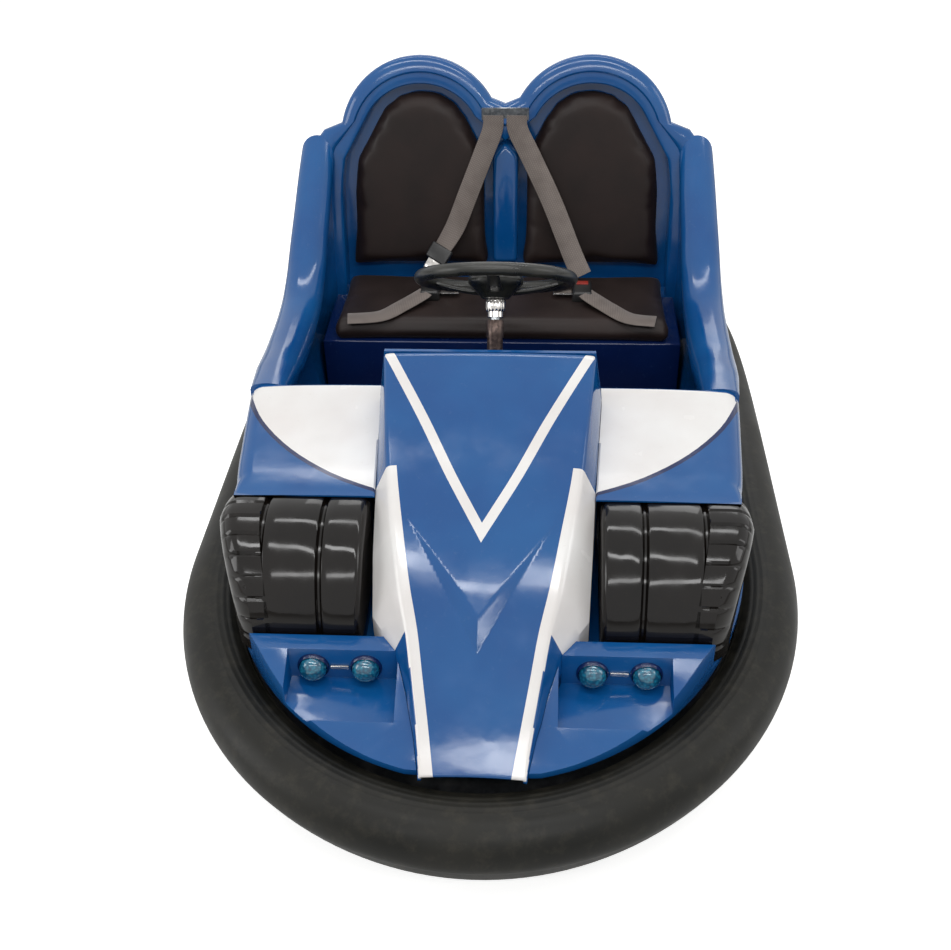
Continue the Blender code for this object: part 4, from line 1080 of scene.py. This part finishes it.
def puffed(name, bm, cap):
    # a sewn cover blown up by its foam, held to the CAD shape by a cap on its movement
    bmesh.ops.recalc_face_normals(bm, faces=bm.faces)
    mesh = bpy.data.meshes.new(name)
    bm.to_mesh(mesh)
    bm.free()
    piece = bpy.data.objects.new(name, mesh)
    bpy.context.scene.collection.objects.link(piece)
    bpy.context.view_layer.objects.active = piece
    remesh = piece.modifiers.new("voxels", "REMESH")
    remesh.mode = "VOXEL"
    remesh.voxel_size = cushion["voxel"] * 1
    applyModifiers(piece)
    rest = [v.co.copy() for v in piece.data.vertices]
    cloth = piece.modifiers.new("cloth", "CLOTH")
    cloth.settings.use_pressure = True
    cloth.settings.uniform_pressure_force = cushion["pressure"]
    cloth.settings.effector_weights.gravity = 0.0
    cloth.settings.tension_stiffness = 40
    cloth.settings.bending_stiffness = 2.0
    cloth.point_cache.frame_start = 1
    cloth.point_cache.frame_end = cushion["frames"]
    for number in range(1, cushion["frames"] + 1):
        bpy.context.scene.frame_set(number)
    applyModifiers(piece)
    bpy.context.scene.frame_set(1)
    for vert, start in zip(piece.data.vertices, rest):
        moved = vert.co - start
        if moved.length > cap:
            vert.co = start + moved * (cap / moved.length)
    return piece


def applyModifiers(piece):
    bpy.context.view_layer.update()
    seen = piece.evaluated_get(bpy.context.evaluated_depsgraph_get())
    baked = bpy.data.meshes.new_from_object(seen)
    piece.modifiers.clear()
    old = piece.data
    piece.data = baked
    bpy.data.meshes.remove(old)


def relax(piece):
    # evens out the puckers that the cap leaves along the cover's seams
    bm = bmesh.new()
    bm.from_mesh(piece.data)
    for _ in range(9):
        bmesh.ops.smooth_vert(bm, verts=bm.verts, factor=0.5, use_axis_x=True, use_axis_y=True,
                              use_axis_z=True)
    bm.to_mesh(piece.data)
    bm.free()


def sewn(piece, groove):
    # presses seams and channels into the padded cover; groove(point) gives the depth there
    normals = [v.normal.copy() for v in piece.data.vertices]
    for vert, normal in zip(piece.data.vertices, normals):
        vert.co -= normal * groove(vert.co)


def finishCushion(piece, body, node):
    piece.data.materials.clear()
    piece.data.materials.append(vinyl)
    piece.data.shade_smooth()
    finer = piece.modifiers.new("finer", "SUBSURF")
    finer.levels = finer.render_levels = 1
    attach(piece, body)
    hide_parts(node)


def makeBench():
    bm = copyOfNode("seat_cushion")
    bmesh.ops.recalc_face_normals(bm, faces=bm.faces)
    shrink = cushion["shrink"]
    middleY, lowZ = (benchLow.y + benchHigh.y) / 2, mix(benchLow.z, benchHigh.z, 0.3)
    for vert in bm.verts:
        vert.co.x -= math.copysign(shrink * 2, vert.co.x)
        vert.co.y += shrink if vert.co.y < middleY else -shrink * 2
        vert.co.z += shrink * 0.5 if vert.co.z < lowZ else -shrink * 1.5
    piece = puffed("benchCushion", bm, cushion["benchCap"])

    def groove(point):
        depth = 0.004 * math.exp(-(point.x / 0.004) ** 2)
        edge = benchHigh.x - 0.020
        depth += 0.0022 * math.exp(-((abs(point.x) - edge) / 0.0035) ** 2)
        return depth
    relax(piece)
    sewn(piece, groove)
    for vert in piece.data.vertices:
        vert.co.z = max(vert.co.z, benchLow.z)
    finishCushion(piece, "car_body", "seat_cushion")


def makeBack(label):
    node = "back_cushion_" + label
    low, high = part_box(node)
    bm = copyOfNode(node)
    centre = (low + high) / 2
    for vert in bm.verts:
        vert.co.x = mix(vert.co.x, centre.x, 0.020)
        vert.co.z = mix(vert.co.z, centre.z, 0.020)
        if vert.co.z < mix(low.z, high.z, 0.15) and benchHigh.z - 0.012 < vert.co.z:
            # the cover runs down behind the bench
            vert.co.y += (benchHigh.z - 0.012 - vert.co.z) * carPlan["lean"]
            vert.co.z = benchHigh.z - 0.012
    for vert in bm.verts:
        front = backPlane(vert.co.z) + 0.03 > vert.co.y
        vert.co.y += 0.006 if front else 0.0
    piece = puffed("backCushion_" + label, bm, cushion["backCap"])
    limit = arch["recess"] - 0.002

    relax(piece)
    for vert in piece.data.vertices:
        vert.co.y = min(vert.co.y, backPlane(vert.co.z) + limit)
    finishCushion(piece, "car_body", node)


makeBench()
for label in ("left", "right"):
    makeBack(label)
print("cushions made")


# ---------- belts

belt = {"width": 0.048, "thick": 0.0022}


def strap(name, node, points, across, body="car_body"):
    # webbing along a smooth line, kept flat by the direction of its width at each point
    steps = 8
    line = smoothLine(points, steps)
    sides = smoothLine(across, steps)
    loops = []
    lengths = [0.0]
    for i, point in enumerate(line):
        along = (line[min(i + 1, len(line) - 1)] - line[max(i - 1, 0)]).normalized()
        side = sides[i]
        side = (side - along * side.dot(along)).normalized()
        normal = along.cross(side)
        half, thin = belt["width"] / 2, belt["thick"] / 2
        shape = ((-1, -0.4), (-0.97, -1), (0, -1), (0.97, -1), (1, -0.4), (1, 0.4), (0.97, 1), (0, 1),
                 (-0.97, 1), (-1, 0.4))
        loops.append([point + side * half * a + normal * thin * b for a, b in shape])
        if i:
            lengths.append(lengths[-1] + (point - line[i - 1]).length)
    bm = bmesh.new()
    sweep(bm, loops)
    closeEnds(bm)
    layer = bm.loops.layers.uv.new("strap")
    bm.verts.ensure_lookup_table()
    for face in bm.faces:
        for corner in face.loops:
            spot = corner.vert.co
            near = min(range(len(line)), key=lambda k: (line[k] - spot).length_squared)
            along = (line[min(near + 1, len(line) - 1)] - line[max(near - 1, 0)]).normalized()
            side = (sides[near] - along * sides[near].dot(along)).normalized()
            off = spot - line[near]
            corner[layer].uv = (off.dot(side), lengths[near] + off.dot(along))
    piece = finishPiece(name, bm, [webbing], body, [node] if node else (), 50)
    print("  %s is %.3f m long" % (name, lengths[-1]))
    return piece


def beforeBack(x, z, off):
    return Vector((x, backPlane(z) - off, z))


def makeBelts():
    seatTop = benchHigh.z
    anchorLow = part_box("belt_anchor")[0]
    high = anchorLow.z - 0.0008
    drop = high - seatTop
    half = insideX / 2
    # shoulder belt on the right hangs loose and doubles back at its tongue
    loose = [beforeBack(-0.028, high + 0.012, 0.0085), beforeBack(-0.030, high - 0.02, 0.008)]
    for share, up, off in ((0.260, 0.770, 0.012), (0.425, 0.530, 0.018), (0.580, 0.310, 0.026),
                           (0.735, 0.170, 0.040)):
        loose.append(beforeBack(-share * half, seatTop + up * drop, off))
    across = [(1, 0, 0), (1, 0, 0.05), (1, 0, 0.25), (1, 0, 0.25), (1, 0, 0.30), (1, 0, 0.55)]
    strap("shoulderBelt_right", "shoulder_belt_right", loose, across)
    # the left one runs tight to the buckle on the seat
    tight = [beforeBack(0.028, high + 0.012, 0.0085), beforeBack(0.030, high - 0.02, 0.008)]
    for share, up, off in ((0.300, 0.770, 0.016), (0.550, 0.500, 0.045), (0.790, 0.202, 0.085),
                           (0.905, 0.085, 0.112)):
        tight.append(beforeBack(share * half, seatTop + up * drop, off))
    across = [(1, 0, 0), (1, 0, 0.05), (1, 0, 0.28), (1, 0, 0.30), (1, 0, 0.30), (1, 0, 0.30)]
    strap("shoulderBelt_left", "shoulder_belt_left", tight, across)
    outer = insideX - 0.030
    rest = seatTop + 0.006
    for label, way, inner in (("left", 1, half + 0.001), ("right", -1, half - 0.014)):
        y = benchLow.y
        lap = [(way * (inner - 0.012), y + 0.128, rest + 0.014), (way * inner, y + 0.117, rest + 0.010),
               (way * (inner + 0.040), y + 0.077, rest + 0.004),
               (way * (inner + 0.085), y + 0.037, rest), (way * (outer - 0.030), y + 0.024, rest)]
        strap("lapBelt_" + label, "lap_belt_" + label, lap, [(way * 0.6, 1.0, 0)] * 5)


def makeBuckle(label):
    node = "belt_buckle_" + label
    low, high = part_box(node)
    case = roundedBox(low, high, 0.006, 4)
    for vert in case.verts:
        if vert.co.z > (low.z + high.z) / 2:
            vert.co.x = mix(vert.co.x, (low.x + high.x) / 2, 0.10)
            vert.co.y = mix(vert.co.y, (low.y + high.y) / 2, 0.06)
    finishPiece("buckle_" + label, case, [plastic], "car_body", [node], 40)
    button = roundedBox((low.x + 0.010, high.y - 0.024, high.z - 0.003),
                        (high.x - 0.010, high.y - 0.007, high.z + 0.0015), 0.0015, 2)
    finishPiece("buckleButton_" + label, button, [buttonRed], "car_body", (), 40)
    way = 1 if label == "left" else -1
    middleX = low.x if way > 0 else high.x
    tongue = roundedBox((min(middleX, middleX - way * 0.044), low.y + 0.018, low.z + 0.012),
                        (max(middleX, middleX - way * 0.044), low.y + 0.046, low.z + 0.0145), 0.001, 2)
    finishPiece("buckleTongue_" + label, tongue, [chrome], "car_body", (), 40)


def makeTongue():
    # the loose belt's tongue: a plastic grip and a chromed blade with its slot
    half = insideX / 2
    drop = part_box("belt_anchor")[0].z - benchHigh.z
    last = beforeBack(-0.735 * half, benchHigh.z + 0.170 * drop, 0.040)
    before = beforeBack(-0.580 * half, benchHigh.z + 0.310 * drop, 0.026)
    along = (last - before).normalized()
    across = Vector((1, 0, 0.45))
    across = (across - along * across.dot(along)).normalized()
    normal = across.cross(along)
    turn = Matrix((across, along, normal)).transposed().to_4x4()
    grip = roundedBox((-0.029, -0.006, -0.006), (0.029, 0.034, 0.006), 0.004, 3)
    blade = roundedBox((-0.019, 0.030, -0.0012), (0.019, 0.062, 0.0012), 0.001, 2)
    for name, bm, finish, slot in (("tongueGrip", grip, plastic, "black_plastic"),
                                   ("tongueBlade", blade, chrome, "zinc_steel")):
        bmesh.ops.transform(bm, matrix=Matrix.Translation(last) @ turn, verts=bm.verts)
        finishPiece(name, bm, [finish], "car_body", (), 40)


makeBelts()
makeTongue()
for label in ("left", "right"):
    makeBuckle(label)
print("belts made")


# ---------- steering wheel

steering = {"tilt": 55.0, "tube": 0.014, "spokes": (90, 210, 330), "padRadius": 0.056}
tilt = math.radians(steering["tilt"])
columnAxis = Vector((0, math.cos(tilt), math.sin(tilt)))
rimLow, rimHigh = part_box("steering_rim")
rimCentre = Vector((0, 0, 0))


def makeSteeringWheel():
    global rimCentre
    radius = (rimHigh.x - rimLow.x) / 2 - steering["tube"]
    # the rim's centre, from the front and the top of its box
    topZ = rimHigh.z - (radius * math.cos(tilt) + steering["tube"])
    rimCentre = Vector((0, (rimLow.y + rimHigh.y) / 2, topZ))
    rimCentre.y = rimLow.y + radius * math.sin(tilt) + steering["tube"]
    turn = columnAxis.to_track_quat("Z", "Y").to_matrix().to_4x4()
    place = Matrix.Translation(rimCentre) @ turn
    rim = bmesh.new()
    tube = steering["tube"]
    profile = []
    for i in range(20):
        angle = math.tau * i / 20
        grip = 1.0 + (0.04 if math.sin(angle) > 0.5 else 0.0)
        profile.append((radius + tube * math.cos(angle), tube * 0.95 * math.sin(angle) * grip))
    spun(rim, profile + [profile[0]], 96)
    # finger grips under the rim
    for vert in rim.verts:
        around = math.atan2(vert.co.y, vert.co.x)
        if vert.co.z < 0:
            vert.co.z *= 1 - 0.06 * (0.5 + 0.5 * math.cos(around * 26))
    bmesh.ops.transform(rim, matrix=place, verts=rim.verts)
    finishPiece("steeringRim", rim, [urethane], "steering_wheel", ["steering_rim"], 60)

    spokes = bmesh.new()
    for degrees in steering["spokes"]:
        angle = math.radians(degrees)
        out = Vector((math.cos(angle), math.sin(angle), 0))
        cross = Vector((-out.y, out.x, 0))
        loops = []
        for k in range(15):
            share = k / 14
            reach = mix(0.018, radius - tube * 0.5, share)
            height = mix(-0.026, -0.001, share ** 1.6)
            wide = mix(0.017, 0.011, share) + 0.006 * clamp((share - 0.8) / 0.2)
            thin = mix(0.007, 0.006, share)
            centre = out * reach + Vector((0, 0, height))
            loops.append([centre + cross * wide * math.cos(a) + Vector((0, 0, 1)) * thin * math.sin(a)
                          for a in [math.tau * n / 16 for n in range(16)]])
        sweep(spokes, loops)
    closeEnds(spokes)
    bmesh.ops.transform(spokes, matrix=place, verts=spokes.verts)
    finishPiece("steeringSpokes", spokes, [urethane], "steering_wheel", (), 50)

    pad = bmesh.new()
    r = steering["padRadius"]
    spun(pad, [(0.0, 0.034), (r * 0.35, 0.0325), (r * 0.62, 0.028), (r * 0.80, 0.021), (r * 0.90, 0.013),
               (r * 0.94, 0.007), (r, 0.003), (r * 1.02, -0.003), (r, -0.010), (r * 0.86, -0.018),
               (r * 0.66, -0.030), (r * 0.50, -0.040), (0.0, -0.042)], 56)
    bmesh.ops.transform(pad, matrix=place, verts=pad.verts)
    finishPiece("steeringPad", pad, [urethane], "steering_wheel", ["steering_pad"], 40)

    # the chromed hub nut and the fluted collar under the boss
    flutes = 16
    collar = bmesh.new()
    loops = []
    for height, size in ((0.040, 0.0185), (0.043, 0.0205), (0.060, 0.0205), (0.066, 0.0190),
                         (0.067, 0.0165), (0.078, 0.0165)):
        loop = []
        for n in range(flutes * 4):
            angle = math.tau * n / (flutes * 4)
            deep = 0.0012 if n % 4 in (1, 2) and size > 0.0188 else 0.0
            loop.append((((size - deep) * math.cos(angle)), (size - deep) * math.sin(angle), -height))
        loops.append(loop)
    sweep(collar, loops)
    closeEnds(collar)
    bmesh.ops.transform(collar, matrix=place, verts=collar.verts)
    finishPiece("steeringCollar", collar, [chrome], "steering_wheel", (), 40)


def makeColumn():
    tube = [(0.0112, -0.084), (0.0165, -0.084), (0.0175, -0.086), (0.0175, -0.118), (0.0160, -0.121),
            (0.0160, -0.500), (0.0112, -0.500), (0.0112, -0.084)]
    bm = bmesh.new()
    spun(bm, tube, 48, columnAxis, rimCentre)
    finishPiece("steeringColumn", bm, [columnSteel], "car_body", ["steering_column"], 40)


makeSteeringWheel()
makeColumn()
print("steering made")


# ---------- running wheels

runningWheel = {"grooveDepth": 0.003}


def makeRoadWheel(tyreNode, body):
    low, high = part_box(tyreNode)
    centre = (low + high) / 2
    radius, half = (high.z - low.z) / 2, (high.x - low.x) / 2
    seat = radius * 0.68
    depth = runningWheel["grooveDepth"]
    profile = [(seat + 0.0004, half * 0.9), (radius - 0.012, half), (radius - 0.006, half * 0.98),
               (radius - 0.002, half * 0.86), (radius, half * 0.72)]
    for at in (0.42, 0.0, -0.42):
        profile += [(radius, half * (at + 0.07)), (radius - depth, half * (at + 0.04)),
                    (radius - depth, half * (at - 0.04)), (radius, half * (at - 0.07))]
    profile += [(radius, -half * 0.72), (radius - 0.002, -half * 0.86), (radius - 0.006, -half * 0.98),
                (radius - 0.012, -half), (seat + 0.0004, -half * 0.9), (seat + 0.0004, half * 0.9)]
    bm = bmesh.new()
    spun(bm, profile, 72, (1, 0, 0), centre)
    finishPiece(tyreNode.replace("_", "-"), bm, [tyreRubber], body, [tyreNode], 30)


makeRoadWheel("drive_tyre", "drive_wheel")
makeRoadWheel("rear_tyre_left", "rear_wheel_left")
makeRoadWheel("rear_tyre_right", "rear_wheel_right")
print("road wheels made")


# ---------- floor, light and camera

stage = {"floor": "#f4f4f2", "size": 30.0, "lift": 0.66}
lights = (      # name, place, size across and along, strength, aimed at
    ("frontTube", (0.2, -3.1, 3.3), (4.6, 0.30), 44, (0, -0.4, 0.3)),
    ("middleTube", (-0.2, -1.2, 4.2), (4.6, 0.30), 52, (0, -0.2, 0.3)),
    ("rearTube", (0.2, 1.4, 4.0), (4.6, 0.30), 36, (0, 0, 0.4)),
    ("doorLight", (-3.8, -1.2, 1.5), (1.4, 2.2), 34, (0, -0.2, 0.2)),
    ("windowLight", (3.6, -0.4, 2.0), (1.0, 2.2), 18, (0, -0.2, 0.3)),
    ("backLight", (0.4, 3.8, 2.2), (3.0, 1.2), 20, (0, 0, 0.4)),
)
view = {"place": (0.1078385, -2.07677, 1.788475), "yaw": 4.1978, "pitch": 37.0237, "roll": -0.02716,
        "lens": 45.226}


def makeStage():
    bm = bmesh.new()
    bmesh.ops.create_grid(bm, x_segments=8, y_segments=8, size=stage["size"])
    mesh = bpy.data.meshes.new("floor")
    bm.to_mesh(mesh)
    bm.free()
    floor = bpy.data.objects.new("floor", mesh)
    bpy.context.scene.collection.objects.link(floor)
    made, tree, shader = newMaterial("paintedFloor", Roughness=0.9)
    shader.inputs["Specular IOR Level"].default_value = 0.0
    shader.inputs["Base Color"].default_value = hexColour(stage["floor"])
    seen = addNode(tree, "ShaderNodeLightPath").outputs["Is Camera Ray"]
    lifted = addNode(tree, "ShaderNodeMath", {0: seen, 1: stage["lift"]}, operation="MULTIPLY")
    tree.links.new(lifted.outputs[0], shader.inputs["Emission Strength"])
    shader.inputs["Emission Color"].default_value = (1, 1, 1, 1)
    mesh.materials.append(made)


def makeLights():
    for name, place, size, strength, target in lights:
        data = bpy.data.lights.new(name, "AREA")
        data.shape = "RECTANGLE"
        data.size, data.size_y = size
        data.energy = strength
        lampObject = bpy.data.objects.new(name, data)
        lampObject.location = place
        lampObject.rotation_euler = (Vector(target) - Vector(place)).to_track_quat("-Z", "Y").to_euler()
        bpy.context.scene.collection.objects.link(lampObject)
    world = bpy.data.worlds.new("paleRoom")
    bpy.context.scene.world = world
    world.use_nodes = True
    tree = world.node_tree
    back = tree.nodes["Background"]
    path = addNode(tree, "ShaderNodeLightPath")
    shown = addNode(tree, "ShaderNodeMath", {0: path.outputs["Is Camera Ray"],
                                             1: path.outputs["Is Glossy Ray"]}, operation="MAXIMUM")
    through = addNode(tree, "ShaderNodeMath", {0: shown.outputs[0],
                                               1: path.outputs["Is Transmission Ray"]}, operation="MAXIMUM")
    level = addNode(tree, "ShaderNodeMapRange", {"Value": through.outputs[0], "To Min": 0.36,
                                                 "To Max": 1.0})
    back.inputs["Color"].default_value = (1, 1, 1, 1)
    tree.links.new(level.outputs["Result"], back.inputs["Strength"])


def makeCamera():
    yaw, pitch = math.radians(view["yaw"]), math.radians(view["pitch"])
    ahead = Vector((-math.sin(yaw) * math.cos(pitch), math.cos(yaw) * math.cos(pitch), -math.sin(pitch)))
    level = Vector((math.cos(yaw), math.sin(yaw), 0))
    upright = level.cross(ahead)
    roll = view["roll"]
    right = math.cos(roll) * level + math.sin(roll) * upright
    up = math.cos(roll) * upright - math.sin(roll) * level
    data = bpy.data.cameras.new("camera")
    data.lens = view["lens"]
    camera = bpy.data.objects.new("camera", data)
    camera.matrix_world = Matrix((
        (right.x, up.x, -ahead.x, view["place"][0]), (right.y, up.y, -ahead.y, view["place"][1]),
        (right.z, up.z, -ahead.z, view["place"][2]), (0, 0, 0, 1)))
    bpy.context.scene.collection.objects.link(camera)
    bpy.context.scene.camera = camera


makeStage()
makeLights()
makeCamera()
bpy.context.scene.view_settings.view_transform = "Standard"
print("scene ready")
